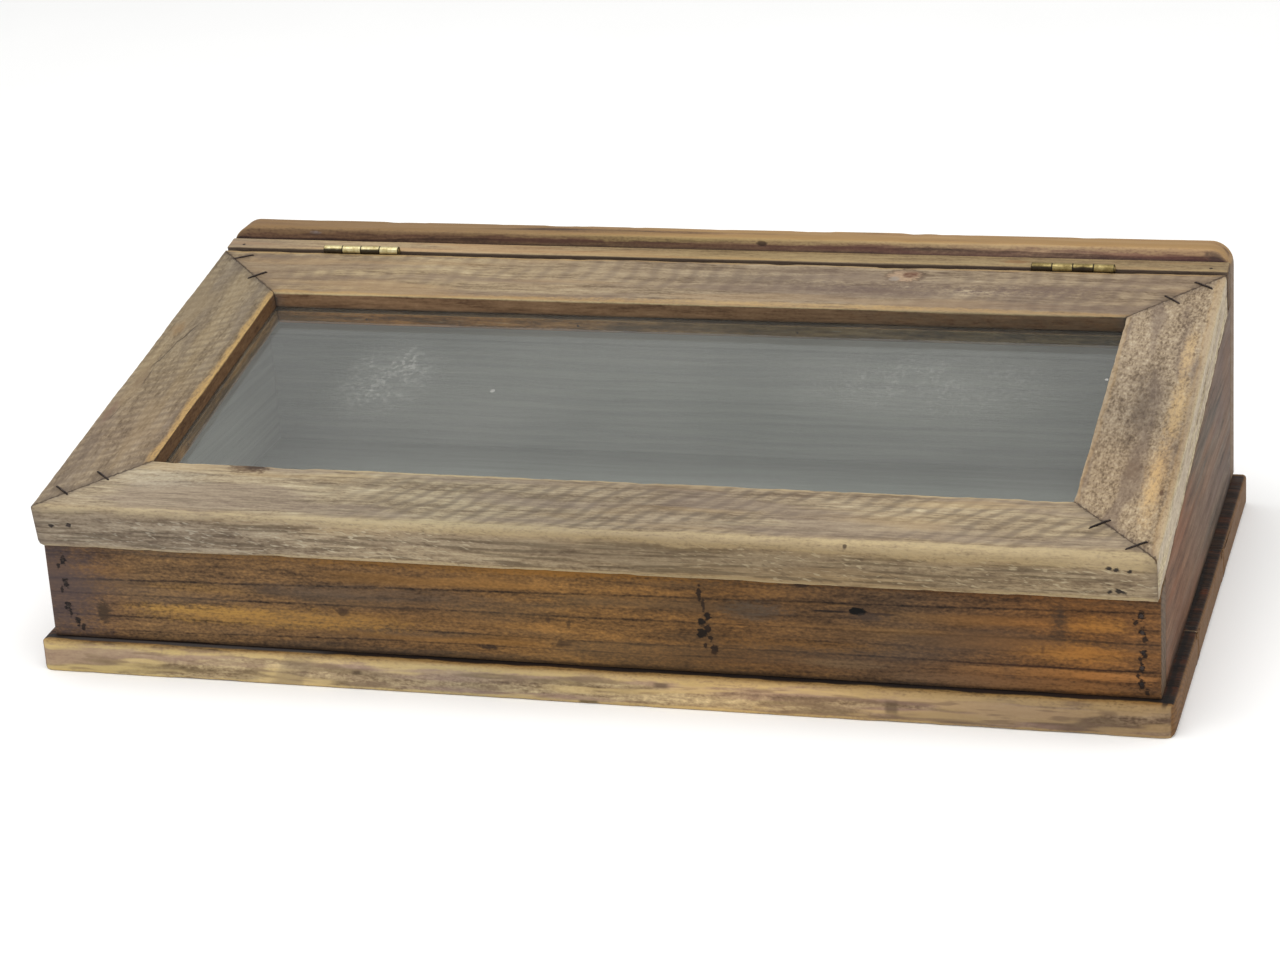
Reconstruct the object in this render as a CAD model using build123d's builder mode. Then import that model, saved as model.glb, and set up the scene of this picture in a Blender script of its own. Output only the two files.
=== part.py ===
from build123d import *
import math
import os

os.makedirs("parts", exist_ok=True)

# ---------------------------------------------------------------- dimensions
# Tabletop display case: a shallow box on a base board, with a sloping
# glazed lid that is hinged to a rail along the back. All values in mm.

# overall carcass
case_w = 650.0            # outer width of the boards and the lid
base_over = 8.0           # base shows this much past the front and the sides
base_t = 19.5             # base board thickness
base_corner_r = 6.0       # worn vertical corners of the base
base_edge_r = 2.0         # worn top edges of the base
seam_1 = 94.0             # first joint between base planks, from the front board
seam_2 = 215.0            # second joint between base planks
board_t = 19.0            # front, side and back board thickness
back_y = 340.0            # rear face of the back board, from the front board
back_top = 172.0          # top of the back board
back_corner_r = 14.0      # rounded top corners of the back board
floor_t = 5.5             # loose floor panel thickness
floor_gap = 0.5           # clearance around the floor panel

# lid
slope = 10.0              # lid slope, degrees
lid_l = 320.5             # lid length along the slope
lid_t = 27.0              # lid thickness
lid_front_y = -11.5       # top front edge of the lid, from the front board
lid_front_z = 105.5       # height of that edge
w_left = 55.0             # member widths
w_right = 53.0
w_front = 55.5
w_back = 56.0
lid_edge_r = 3.0          # worn outer edges of the lid
rabbet_w = 9.0            # glazing rabbet, cut from below
glass_depth = 10.3        # top of the glass below the top of the lid
glass_t = 3.0
glass_gap = 1.0           # clearance between glass edge and rabbet wall
bead_h = 8.5              # glazing bead height

# hinge line
hinge_gap = 4.2           # gap between lid and hinge rail
hinge_len = 50.8          # two inch butt hinge
hinge_x = (-230.0, 231.5) # hinge centres, left and right
axis_rise = 1.0           # hinge axis above the top plane of the lid
knuckle_r = 2.9
knuckle_bore = 1.25
pin_r = 1.2
pin_head_r = 1.8
pin_head_t = 0.5
leaf_t = 1.2
leaf_deep = 18.0          # leaf height below the top plane
knuckle_play = 0.1        # end play on each side of a knuckle
sweep_r = 3.2             # leaf cut back around the other leaf's knuckles
relief_r = 3.3            # round relief in the wood along the knuckles

# fasteners
screw_head_r = 2.7
screw_shank_r = 1.4
rail_screw_l = 9.0
lid_screw_l = 14.0
base_screw_head_r = 4.0
base_screw_r = 2.1
base_screw_l = 42.0
nail_r = 1.0
nail_head_r = 1.7
nail_head_t = 1.0
nail_l = 42.0
staple_w = 14.0
staple_wire = 1.3
staple_leg = 16.0
brad_r = 0.8
brad_l = 28.0
bead_pin_r = 0.7
bead_pin_l = 16.0

# ---------------------------------------------------------------- derived
th = math.radians(slope)
half_w = case_w / 2
# frontmost point of the rounded lid edge, used to centre the row frame
front_most = lid_front_y + lid_edge_r * (math.cos(th) + math.sin(th)) - lid_edge_r
yc = (front_most + back_y) / 2


def fy(y):
    """Depth measured from the front board, in the row frame."""
    return y - yc


lid_plane = Plane(
    origin=(0, fy(lid_front_y), lid_front_z),
    x_dir=(1, 0, 0),
    z_dir=(0, -math.sin(th), math.cos(th)),
)


def lp(x, s, n):
    """Lid coordinates (across, up the slope, out of the lid) in the row frame."""
    return lid_plane.from_local_coords(Vector(x, s, n))


up_slope = Vector(0, math.cos(th), math.sin(th))
down_slope = Vector(0, -math.cos(th), -math.sin(th))
lid_normal = Vector(0, -math.sin(th), math.cos(th))
lid_down = Vector(0, math.sin(th), -math.cos(th))

# plane under the lid: height at a depth y
under_y0 = lid_front_y + lid_t * math.sin(th)
under_z0 = lid_front_z - lid_t * math.cos(th)


def under(y):
    return under_z0 + (y - under_y0) * math.tan(th)


def over(y):
    return lid_front_z + (y - lid_front_y) * math.tan(th)


in_l = -half_w + w_left
in_r = half_w - w_right
in_f = w_front
in_b = lid_l - w_back
side_in = half_w - board_t
back_in = back_y - board_t
rail_s = lid_l + hinge_gap
axis_s = lid_l + hinge_gap / 2


def nearest(edge_list, point, count=1):
    """The edges whose middle lies nearest to a point."""
    p = Vector(*point) if isinstance(point, tuple) else point
    return ShapeList(sorted(edge_list, key=lambda e: (e.center() - p).length)[:count])


# ================================================================ fasteners
# The holes in the boards are cut with these same pieces, so each one fits.

# screws up through the base into the walls
base_screw_xy = [
    (-250.0, board_t / 2), (0.0, board_t / 2), (250.0, board_t / 2),
    (-250.0, back_y - board_t / 2), (0.0, back_y - board_t / 2), (250.0, back_y - board_t / 2),
    (-(half_w - board_t / 2), 60.0), (-(half_w - board_t / 2), 270.0),
    (half_w - board_t / 2, 60.0), (half_w - board_t / 2, 270.0),
]
with BuildPart() as base_screws:
    for sx, sy in base_screw_xy:
        with Locations((sx, fy(sy), 0.6)):
            Cone(base_screw_head_r, base_screw_r, 2.2,
                 align=(Align.CENTER, Align.CENTER, Align.MIN))
        with BuildSketch(Plane.XY.offset(2.8)):
            with Locations((sx, fy(sy))):
                Circle(base_screw_r)
        extrude(amount=base_screw_l)
base_screws.part.label = "base_screws"

# nails through the front board into the ends of the side boards
front_nail_xz = [
    (314.3, 68.0), (314.8, 58.4), (315.2, 46.6), (314.4, 37.6), (314.4, 28.0),
    (-314.3, 68.0), (-314.0, 53.6), (-314.2, 39.0), (-309.0, 29.8),
]
with BuildPart() as front_board_nails:
    for nx, nz in front_nail_xz:
        with BuildSketch(Plane(origin=(nx, fy(0), nz), x_dir=(1, 0, 0), z_dir=(0, 1, 0))):
            Circle(nail_head_r)
        extrude(amount=nail_head_t)
        with BuildSketch(Plane(origin=(nx, fy(0), nz), x_dir=(1, 0, 0), z_dir=(0, 1, 0))):
            Circle(nail_r)
        extrude(amount=nail_l)
front_board_nails.part.label = "front_board_nails"

# nails through the back board into the side boards and the hinge rail
back_nail_xz = [
    (315.5, 40.0, nail_l), (315.5, 78.0, nail_l), (315.5, 114.0, nail_l),
    (-315.5, 40.0, nail_l), (-315.5, 78.0, nail_l), (-315.5, 114.0, nail_l),
    (-150.0, 150.0, 28.0), (0.0, 150.0, 28.0), (150.0, 150.0, 28.0),
]
with BuildPart() as back_board_nails:
    for nx, nz, nl in back_nail_xz:
        with BuildSketch(Plane(origin=(nx, fy(back_y), nz), x_dir=(1, 0, 0), z_dir=(0, -1, 0))):
            Circle(nail_head_r)
        extrude(amount=nail_head_t)
        with BuildSketch(Plane(origin=(nx, fy(back_y), nz), x_dir=(1, 0, 0), z_dir=(0, -1, 0))):
            Circle(nail_r)
        extrude(amount=nl)
back_board_nails.part.label = "back_board_nails"

# nails down through the ends of the hinge rail into the side boards
rail_nail_s = rail_s + 4.1
with BuildPart() as hinge_rail_nails:
    for nx in (-314.3, 314.3):
        with BuildSketch(Plane(origin=lp(nx, rail_nail_s, 0), x_dir=(1, 0, 0), z_dir=lid_down)):
            Circle(nail_head_r)
        extrude(amount=nail_head_t)
        with BuildSketch(Plane(origin=lp(nx, rail_nail_s, 0), x_dir=(1, 0, 0), z_dir=lid_down)):
            Circle(nail_r)
        extrude(amount=nail_l)
hinge_rail_nails.part.label = "hinge_rail_nails"

# wire staples across the mitres of the lid: middle (x, s) and direction
staple_list = [
    (-308.1, 311.0, 27.0), (-289.4, 286.6, 44.0),
    (312.5, 306.2, -35.0), (296.0, 287.4, -43.5),
    (-293.9, 36.9, -39.5), (-312.3, 18.9, -39.0),
    (289.6, 33.2, 41.5), (311.9, 13.4, 39.0),
]
with BuildPart() as mitre_staples:
    for mx, ms, ang in staple_list:
        with BuildSketch(lid_plane):
            with Locations((mx, ms)):
                Rectangle(staple_w, staple_wire, rotation=ang)
        extrude(amount=-staple_wire)
        ex = (staple_w - staple_wire) / 2
        ca, sa = math.cos(math.radians(ang)), math.sin(math.radians(ang))
        for sg in (-1, 1):
            with BuildSketch(lid_plane):
                with Locations((mx + sg * ex * ca, ms + sg * ex * sa)):
                    Rectangle(staple_wire, staple_wire, rotation=ang)
            extrude(amount=-staple_leg)
mitre_staples.part.label = "mitre_staples"

# brads through the front edge of the lid into the side members
brad_xn = [
    (-313.7, -12.8), (-302.8, -11.6),
    (298.5, -6.8), (310.0, -8.0), (298.9, -21.0), (306.5, -21.6),
]
with BuildPart() as lid_front_brads:
    for bx, bn in brad_xn:
        with BuildSketch(Plane(origin=lp(bx, 0, bn), x_dir=(1, 0, 0), z_dir=up_slope)):
            Circle(brad_r)
        extrude(amount=brad_l)
lid_front_brads.part.label = "lid_front_brads"

# pins holding the glazing beads, driven sideways into the rabbet wall
bead_n = -(glass_depth + glass_t + bead_h * 0.5)
bead_pin_list = (
    [((x, in_f), (0, -1)) for x in (-210.0, -70.0, 70.0, 210.0)]
    + [((x, in_b), (0, 1)) for x in (-210.0, -70.0, 70.0, 210.0)]
    + [((in_l, s), (-1, 0)) for s in (105.0, 215.0)]
    + [((in_r, s), (1, 0)) for s in (105.0, 215.0)]
)
with BuildPart() as bead_pins:
    for (px, ps), (dx, ds) in bead_pin_list:
        d = Vector(dx, 0, 0) + up_slope * ds
        with BuildSketch(Plane(origin=lp(px, ps, bead_n), z_dir=d)):
            Circle(bead_pin_r)
        extrude(amount=bead_pin_l)
bead_pins.part.label = "bead_pins"

# hinge screws: three in each leaf
screw_dx = (-16.5, 0.0, 16.5)
screw_n = (-9.0, -12.5, -9.0)
with BuildPart() as rail_leaf_screws:
    for hx in hinge_x:
        for dx, n in zip(screw_dx, screw_n):
            head = Plane(origin=lp(hx + dx, rail_s - leaf_t, n), x_dir=(1, 0, 0), z_dir=up_slope)
            with Locations(head.location):
                Cone(screw_head_r, screw_shank_r, leaf_t,
                     align=(Align.CENTER, Align.CENTER, Align.MIN))
            with BuildSketch(head.offset(leaf_t)):
                Circle(screw_shank_r)
            extrude(amount=rail_screw_l)
rail_leaf_screws.part.label = "rail_leaf_screws"

with BuildPart() as lid_leaf_screws:
    for hx in hinge_x:
        for dx, n in zip(screw_dx, screw_n):
            head = Plane(origin=lp(hx + dx, lid_l + leaf_t, n), x_dir=(1, 0, 0), z_dir=down_slope)
            with Locations(head.location):
                Cone(screw_head_r, screw_shank_r, leaf_t,
                     align=(Align.CENTER, Align.CENTER, Align.MIN))
            with BuildSketch(head.offset(leaf_t)):
                Circle(screw_shank_r)
            extrude(amount=lid_screw_l)
lid_leaf_screws.part.label = "lid_leaf_screws"

# ================================================================ base
base_front = fy(-base_over)
base_rear = fy(back_y)
base_half = half_w + base_over


def outer_top_edges(part, y_keep):
    """Top and bottom perimeter edges of a base plank, without its glued joints."""
    keep = []
    for e in part.edges():
        c = e.center()
        if abs(c.Z - base_t) > 1e-3:
            continue
        if any(abs(c.Y - y) < 1e-3 for y in y_keep):
            continue
        keep.append(e)
    return ShapeList(keep)


with BuildPart() as base_plank_front:
    with BuildSketch(Plane.XY):
        with Locations((0, (base_front + fy(seam_1)) / 2)):
            Rectangle(2 * base_half, fy(seam_1) - base_front)
    extrude(amount=base_t)
    fillet(nearest(base_plank_front.edges().filter_by(Axis.Z), (-base_half, base_front, base_t / 2))
           + nearest(base_plank_front.edges().filter_by(Axis.Z), (base_half, base_front, base_t / 2)),
           base_corner_r)
    fillet(outer_top_edges(base_plank_front.part, [fy(seam_1)]), base_edge_r)
    add(base_screws.part, mode=Mode.SUBTRACT)
    for sx, sy in base_screw_xy:
        with BuildSketch(Plane.XY):
            with Locations((sx, fy(sy))):
                Circle(base_screw_head_r)
        extrude(amount=0.6, mode=Mode.SUBTRACT)
base_plank_front.part.label = "base_plank_front"

with BuildPart() as base_plank_middle:
    with BuildSketch(Plane.XY):
        with Locations((0, (fy(seam_1) + fy(seam_2)) / 2)):
            Rectangle(2 * base_half, seam_2 - seam_1)
    extrude(amount=base_t)
    fillet(outer_top_edges(base_plank_middle.part, [fy(seam_1), fy(seam_2)]), base_edge_r)
base_plank_middle.part.label = "base_plank_middle"

with BuildPart() as base_plank_rear:
    with BuildSketch(Plane.XY):
        with Locations((0, (fy(seam_2) + base_rear) / 2)):
            Rectangle(2 * base_half, base_rear - fy(seam_2))
    extrude(amount=base_t)
    fillet(nearest(base_plank_rear.edges().filter_by(Axis.Z), (-base_half, base_rear, base_t / 2))
           + nearest(base_plank_rear.edges().filter_by(Axis.Z), (base_half, base_rear, base_t / 2)),
           2.0)
    fillet(nearest(base_plank_rear.edges(), (-base_half, (fy(seam_2) + base_rear) / 2, base_t))
           + nearest(base_plank_rear.edges(), (base_half, (fy(seam_2) + base_rear) / 2, base_t)),
           1.5)
    add(base_screws.part, mode=Mode.SUBTRACT)
    for sx, sy in base_screw_xy:
        with BuildSketch(Plane.XY):
            with Locations((sx, fy(sy))):
                Circle(base_screw_head_r)
        extrude(amount=0.6, mode=Mode.SUBTRACT)
base_plank_rear.part.label = "base_plank_rear"

# ================================================================ walls
with BuildPart() as front_board:
    with BuildSketch(Plane(origin=(-half_w, 0, 0), x_dir=(0, 1, 0), z_dir=(1, 0, 0))):
        Polygon(
            (fy(0), base_t), (fy(board_t), base_t),
            (fy(board_t), under(board_t)), (fy(0), under(0)),
            align=None,
        )
    extrude(amount=case_w)
    add(base_screws.part, mode=Mode.SUBTRACT)
    add(front_board_nails.part, mode=Mode.SUBTRACT)
front_board.part.label = "front_board"

with BuildPart() as left_side_board:
    with BuildSketch(Plane(origin=(-half_w, 0, 0), x_dir=(0, 1, 0), z_dir=(1, 0, 0))):
        Polygon(
            (fy(board_t), base_t), (fy(back_in), base_t),
            (fy(back_in), under(back_in)), (fy(board_t), under(board_t)),
            align=None,
        )
    extrude(amount=board_t)
    add(base_screws.part, mode=Mode.SUBTRACT)
    add(front_board_nails.part, mode=Mode.SUBTRACT)
    add(back_board_nails.part, mode=Mode.SUBTRACT)
    add(hinge_rail_nails.part, mode=Mode.SUBTRACT)
left_side_board.part.label = "left_side_board"

with BuildPart() as right_side_board:
    with BuildSketch(Plane(origin=(side_in, 0, 0), x_dir=(0, 1, 0), z_dir=(1, 0, 0))):
        Polygon(
            (fy(board_t), base_t), (fy(back_in), base_t),
            (fy(back_in), under(back_in)), (fy(board_t), under(board_t)),
            align=None,
        )
    extrude(amount=board_t)
    add(base_screws.part, mode=Mode.SUBTRACT)
    add(front_board_nails.part, mode=Mode.SUBTRACT)
    add(back_board_nails.part, mode=Mode.SUBTRACT)
    add(hinge_rail_nails.part, mode=Mode.SUBTRACT)
right_side_board.part.label = "right_side_board"

with BuildPart() as back_board:
    with BuildSketch(Plane(origin=(0, fy(back_in), 0), x_dir=(1, 0, 0), z_dir=(0, -1, 0))):
        with Locations((0, (base_t + back_top) / 2)):
            Rectangle(case_w, back_top - base_t)
    extrude(amount=-board_t)
    fillet(nearest(back_board.edges().filter_by(Axis.Y), (-half_w, fy(back_y - board_t / 2), back_top))
           + nearest(back_board.edges().filter_by(Axis.Y), (half_w, fy(back_y - board_t / 2), back_top)),
           back_corner_r)
    add(base_screws.part, mode=Mode.SUBTRACT)
    add(back_board_nails.part, mode=Mode.SUBTRACT)
back_board.part.label = "back_board"

with BuildPart() as floor_panel:
    with BuildSketch(Plane.XY.offset(base_t)):
        with Locations((0, fy((board_t + back_in) / 2))):
            Rectangle(2 * (side_in - floor_gap), back_in - board_t - 2 * floor_gap)
    extrude(amount=floor_t)
floor_panel.part.label = "floor_panel"

# ================================================================ hinge rail
with BuildPart() as hinge_rail:
    r_top = lp(0, rail_s, 0)
    r_bot = lp(0, rail_s, -lid_t)
    with BuildSketch(Plane(origin=(-half_w, 0, 0), x_dir=(0, 1, 0), z_dir=(1, 0, 0))):
        Polygon(
            (r_top.Y, r_top.Z), (r_bot.Y, r_bot.Z),
            (fy(back_in), under(back_in)), (fy(back_in), over(back_in)),
            align=None,
        )
    extrude(amount=case_w)
    # round relief along the knuckles
    for hx in hinge_x:
        with BuildSketch(Plane(origin=lp(hx - hinge_len / 2 - 1.0, axis_s, axis_rise),
                               x_dir=up_slope, z_dir=(1, 0, 0))):
            Circle(relief_r)
        extrude(amount=hinge_len + 2.0, mode=Mode.SUBTRACT)
    add(rail_leaf_screws.part, mode=Mode.SUBTRACT)
    add(hinge_rail_nails.part, mode=Mode.SUBTRACT)
    add(back_board_nails.part, mode=Mode.SUBTRACT)
hinge_rail.part.label = "hinge_rail"

# ================================================================ hinges
# Each hinge has four knuckles. Counted from the left, the first and third
# belong to the rail leaf, the second and fourth to the lid leaf.
slot_w = hinge_len / 4


def hinge_leaf(hx, side):
    """A leaf with its knuckles; side is +1 for the rail leaf, -1 for the lid leaf."""
    x0 = hx - hinge_len / 2
    own = (0, 2) if side > 0 else (1, 3)
    other = (1, 3) if side > 0 else (0, 2)
    with BuildPart() as leaf:
        # flat plate against the wood
        s_in = axis_s + side * (hinge_gap / 2 - leaf_t)
        with BuildSketch(Plane(origin=lp(x0 + knuckle_play, s_in, 0), x_dir=(1, 0, 0),
                               z_dir=up_slope if side > 0 else down_slope)) as sk:
            # local y of this plane points along or against the lid normal
            ly = sk.workplanes[0].y_dir
            sg = 1 if ly.dot(lid_normal) > 0 else -1
            with Locations(((hinge_len - 2 * knuckle_play) / 2, sg * (axis_rise - leaf_deep) / 2)):
                Rectangle(hinge_len - 2 * knuckle_play, leaf_deep + axis_rise)
        extrude(amount=leaf_t)
        # room for the other leaf's knuckles
        for i in other:
            a = x0 + slot_w * i - knuckle_play
            with BuildSketch(Plane(origin=lp(a, axis_s, axis_rise), x_dir=up_slope, z_dir=(1, 0, 0))):
                Circle(sweep_r)
            extrude(amount=slot_w + 2 * knuckle_play, mode=Mode.SUBTRACT)
            with BuildSketch(Plane(origin=lp(a, axis_s, axis_rise), x_dir=up_slope, z_dir=(1, 0, 0)) ) as sk2:
                ly2 = sk2.workplanes[0].y_dir
                sg2 = 1 if ly2.dot(lid_normal) > 0 else -1
                with Locations((0, sg2 * 3.0)):
                    Rectangle(2 * sweep_r, 6.0)
            extrude(amount=slot_w + 2 * knuckle_play, mode=Mode.SUBTRACT)
        # own knuckles
        for i in own:
            a = x0 + slot_w * i + knuckle_play
            with BuildSketch(Plane(origin=lp(a, axis_s, axis_rise), x_dir=up_slope, z_dir=(1, 0, 0))):
                Circle(knuckle_r)
            extrude(amount=slot_w - 2 * knuckle_play)
        # pin bore
        with BuildSketch(Plane(origin=lp(x0 - 1.0, axis_s, axis_rise), x_dir=up_slope, z_dir=(1, 0, 0))):
            Circle(knuckle_bore)
        extrude(amount=hinge_len + 2.0, mode=Mode.SUBTRACT)
        # countersunk screw holes
        add(rail_leaf_screws.part if side > 0 else lid_leaf_screws.part, mode=Mode.SUBTRACT)
    return leaf.part


def hinge_pin(hx):
    """A pin with a small head at each end."""
    x0 = hx - hinge_len / 2 + knuckle_play
    ln = hinge_len - 2 * knuckle_play
    with BuildPart() as pin:
        with BuildSketch(Plane(origin=lp(x0 - pin_head_t, axis_s, axis_rise), x_dir=up_slope, z_dir=(1, 0, 0))):
            Circle(pin_head_r)
        extrude(amount=pin_head_t)
        with BuildSketch(Plane(origin=lp(x0, axis_s, axis_rise), x_dir=up_slope, z_dir=(1, 0, 0))):
            Circle(pin_r)
        extrude(amount=ln)
        with BuildSketch(Plane(origin=lp(x0 + ln, axis_s, axis_rise), x_dir=up_slope, z_dir=(1, 0, 0))):
            Circle(pin_head_r)
        extrude(amount=pin_head_t)
    return pin.part


rail_leaf_left = hinge_leaf(hinge_x[0], 1)
rail_leaf_left.label = "rail_leaf_left"
rail_leaf_right = hinge_leaf(hinge_x[1], 1)
rail_leaf_right.label = "rail_leaf_right"
lid_leaf_left = hinge_leaf(hinge_x[0], -1)
lid_leaf_left.label = "lid_leaf_left"
lid_leaf_right = hinge_leaf(hinge_x[1], -1)
lid_leaf_right.label = "lid_leaf_right"
hinge_pin_left = hinge_pin(hinge_x[0])
hinge_pin_left.label = "hinge_pin_left"
hinge_pin_right = hinge_pin(hinge_x[1])
hinge_pin_right.label = "hinge_pin_right"

# ================================================================ lid frame
rab_l, rab_r = in_l - rabbet_w, in_r + rabbet_w
rab_f, rab_b = in_f - rabbet_w, in_b + rabbet_w


def at_lid(x, s, n):
    return lp(x, s, n)


with BuildPart() as lid_front_rail:
    with BuildSketch(lid_plane):
        Polygon((-half_w, 0), (half_w, 0), (in_r, in_f), (in_l, in_f), align=None)
    extrude(amount=-lid_t)
    fillet(nearest(lid_front_rail.edges(), lp(0, 0, 0)), lid_edge_r)
    fillet(nearest(lid_front_rail.edges(), lp(0, 0, -lid_t)), 1.5)
    with BuildSketch(lid_plane.offset(-glass_depth)):
        with Locations(((rab_l + rab_r) / 2, (rab_f + rab_b) / 2)):
            Rectangle(rab_r - rab_l, rab_b - rab_f)
    extrude(amount=-lid_t, mode=Mode.SUBTRACT)
    add(mitre_staples.part, mode=Mode.SUBTRACT)
    add(lid_front_brads.part, mode=Mode.SUBTRACT)
    add(bead_pins.part, mode=Mode.SUBTRACT)
lid_front_rail.part.label = "lid_front_rail"

with BuildPart() as lid_back_rail:
    with BuildSketch(lid_plane):
        Polygon((-half_w, lid_l), (half_w, lid_l), (in_r, in_b), (in_l, in_b), align=None)
    extrude(amount=-lid_t)
    with BuildSketch(lid_plane.offset(-glass_depth)):
        with Locations(((rab_l + rab_r) / 2, (rab_f + rab_b) / 2)):
            Rectangle(rab_r - rab_l, rab_b - rab_f)
    extrude(amount=-lid_t, mode=Mode.SUBTRACT)
    for hx in hinge_x:
        with BuildSketch(Plane(origin=lp(hx - hinge_len / 2 - 1.0, axis_s, axis_rise),
                               x_dir=up_slope, z_dir=(1, 0, 0))):
            Circle(relief_r)
        extrude(amount=hinge_len + 2.0, mode=Mode.SUBTRACT)
    add(mitre_staples.part, mode=Mode.SUBTRACT)
    add(bead_pins.part, mode=Mode.SUBTRACT)
    add(lid_leaf_screws.part, mode=Mode.SUBTRACT)
lid_back_rail.part.label = "lid_back_rail"

with BuildPart() as lid_left_stile:
    with BuildSketch(lid_plane):
        Polygon((-half_w, 0), (in_l, in_f), (in_l, in_b), (-half_w, lid_l), align=None)
    extrude(amount=-lid_t)
    fillet(nearest(lid_left_stile.edges(), lp(-half_w, lid_l / 2, 0)), 2.0)
    with BuildSketch(lid_plane.offset(-glass_depth)):
        with Locations(((rab_l + rab_r) / 2, (rab_f + rab_b) / 2)):
            Rectangle(rab_r - rab_l, rab_b - rab_f)
    extrude(amount=-lid_t, mode=Mode.SUBTRACT)
    add(mitre_staples.part, mode=Mode.SUBTRACT)
    add(lid_front_brads.part, mode=Mode.SUBTRACT)
    add(bead_pins.part, mode=Mode.SUBTRACT)
lid_left_stile.part.label = "lid_left_stile"

with BuildPart() as lid_right_stile:
    with BuildSketch(lid_plane):
        Polygon((half_w, 0), (in_r, in_f), (in_r, in_b), (half_w, lid_l), align=None)
    extrude(amount=-lid_t)
    fillet(nearest(lid_right_stile.edges(), lp(half_w, lid_l / 2, 0)), 2.0)
    with BuildSketch(lid_plane.offset(-glass_depth)):
        with Locations(((rab_l + rab_r) / 2, (rab_f + rab_b) / 2)):
            Rectangle(rab_r - rab_l, rab_b - rab_f)
    extrude(amount=-lid_t, mode=Mode.SUBTRACT)
    add(mitre_staples.part, mode=Mode.SUBTRACT)
    add(lid_front_brads.part, mode=Mode.SUBTRACT)
    add(bead_pins.part, mode=Mode.SUBTRACT)
lid_right_stile.part.label = "lid_right_stile"

# ================================================================ glazing
with BuildPart() as glass_pane:
    with BuildSketch(lid_plane.offset(-glass_depth)):
        with Locations(((rab_l + rab_r) / 2, (rab_f + rab_b) / 2)):
            Rectangle(rab_r - rab_l - 2 * glass_gap, rab_b - rab_f - 2 * glass_gap)
    extrude(amount=-glass_t)
glass_pane.part.label = "glass_pane"

bead_plane = lid_plane.offset(-(glass_depth + glass_t))

with BuildPart() as bead_front:
    with BuildSketch(bead_plane):
        Polygon((rab_l, rab_f), (rab_r, rab_f), (in_r, in_f), (in_l, in_f), align=None)
    extrude(amount=-bead_h)
    add(bead_pins.part, mode=Mode.SUBTRACT)
bead_front.part.label = "bead_front"

with BuildPart() as bead_back:
    with BuildSketch(bead_plane):
        Polygon((rab_l, rab_b), (rab_r, rab_b), (in_r, in_b), (in_l, in_b), align=None)
    extrude(amount=-bead_h)
    add(bead_pins.part, mode=Mode.SUBTRACT)
bead_back.part.label = "bead_back"

with BuildPart() as bead_left:
    with BuildSketch(bead_plane):
        Polygon((rab_l, rab_f), (in_l, in_f), (in_l, in_b), (rab_l, rab_b), align=None)
    extrude(amount=-bead_h)
    add(bead_pins.part, mode=Mode.SUBTRACT)
bead_left.part.label = "bead_left"

with BuildPart() as bead_right:
    with BuildSketch(bead_plane):
        Polygon((rab_r, rab_f), (in_r, in_f), (in_r, in_b), (rab_r, rab_b), align=None)
    extrude(amount=-bead_h)
    add(bead_pins.part, mode=Mode.SUBTRACT)
bead_right.part.label = "bead_right"

# ================================================================ export
for piece in (
    base_plank_front.part, base_plank_middle.part, base_plank_rear.part,
    front_board.part, left_side_board.part, right_side_board.part, back_board.part,
    floor_panel.part, hinge_rail.part,
    base_screws.part, front_board_nails.part, back_board_nails.part, hinge_rail_nails.part,
    rail_leaf_left, rail_leaf_right, hinge_pin_left, hinge_pin_right, rail_leaf_screws.part,
    lid_front_rail.part, lid_back_rail.part, lid_left_stile.part, lid_right_stile.part,
    glass_pane.part, bead_front.part, bead_back.part, bead_left.part, bead_right.part,
    bead_pins.part, mitre_staples.part, lid_front_brads.part,
    lid_leaf_left, lid_leaf_right, lid_leaf_screws.part,
):
    export_step(piece, "parts/" + piece.label + ".step")
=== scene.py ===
import bpy
import math
import numpy as np
from mathutils import Matrix, Vector


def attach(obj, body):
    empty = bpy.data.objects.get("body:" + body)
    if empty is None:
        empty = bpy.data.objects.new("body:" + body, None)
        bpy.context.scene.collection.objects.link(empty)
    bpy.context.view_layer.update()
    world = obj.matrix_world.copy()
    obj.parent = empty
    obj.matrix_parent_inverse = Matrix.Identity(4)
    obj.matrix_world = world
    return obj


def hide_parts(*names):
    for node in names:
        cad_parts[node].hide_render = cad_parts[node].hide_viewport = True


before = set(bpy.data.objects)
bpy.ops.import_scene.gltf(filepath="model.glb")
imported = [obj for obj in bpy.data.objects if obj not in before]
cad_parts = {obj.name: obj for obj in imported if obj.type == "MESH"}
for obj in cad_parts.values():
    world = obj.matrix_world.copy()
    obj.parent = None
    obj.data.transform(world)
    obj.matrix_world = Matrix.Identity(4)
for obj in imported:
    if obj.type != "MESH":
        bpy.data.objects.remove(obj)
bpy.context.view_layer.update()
scene = bpy.context.scene

# ------------------------------------------------------------------ the case's own numbers, in mm
TH = math.radians(10.0)
CT, ST, TT = math.cos(TH), math.sin(TH), math.tan(TH)
YC = (-11.5 + 3.0 * (CT + ST) - 3.0 + 340.0) / 2
BASE_T = 19.5
LID_L = 320.5
AXIS_S, AXIS_N = 322.6, 1.0
HINGES = (-230.0, 231.5)
HL = 50.8


def lid_world(x, s, n):
    return x, -11.5 + s * CT - n * ST - YC, 105.5 + s * ST + n * CT


def under(y):
    return 105.5 - 27 * CT + (y + 11.5 - 27 * ST) * TT


# ------------------------------------------------------------------ seeded value noise
_tables = {}


def _table(seed):
    if seed not in _tables:
        _tables[seed] = np.random.RandomState(seed).rand(256, 256)
    return _tables[seed]


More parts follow.
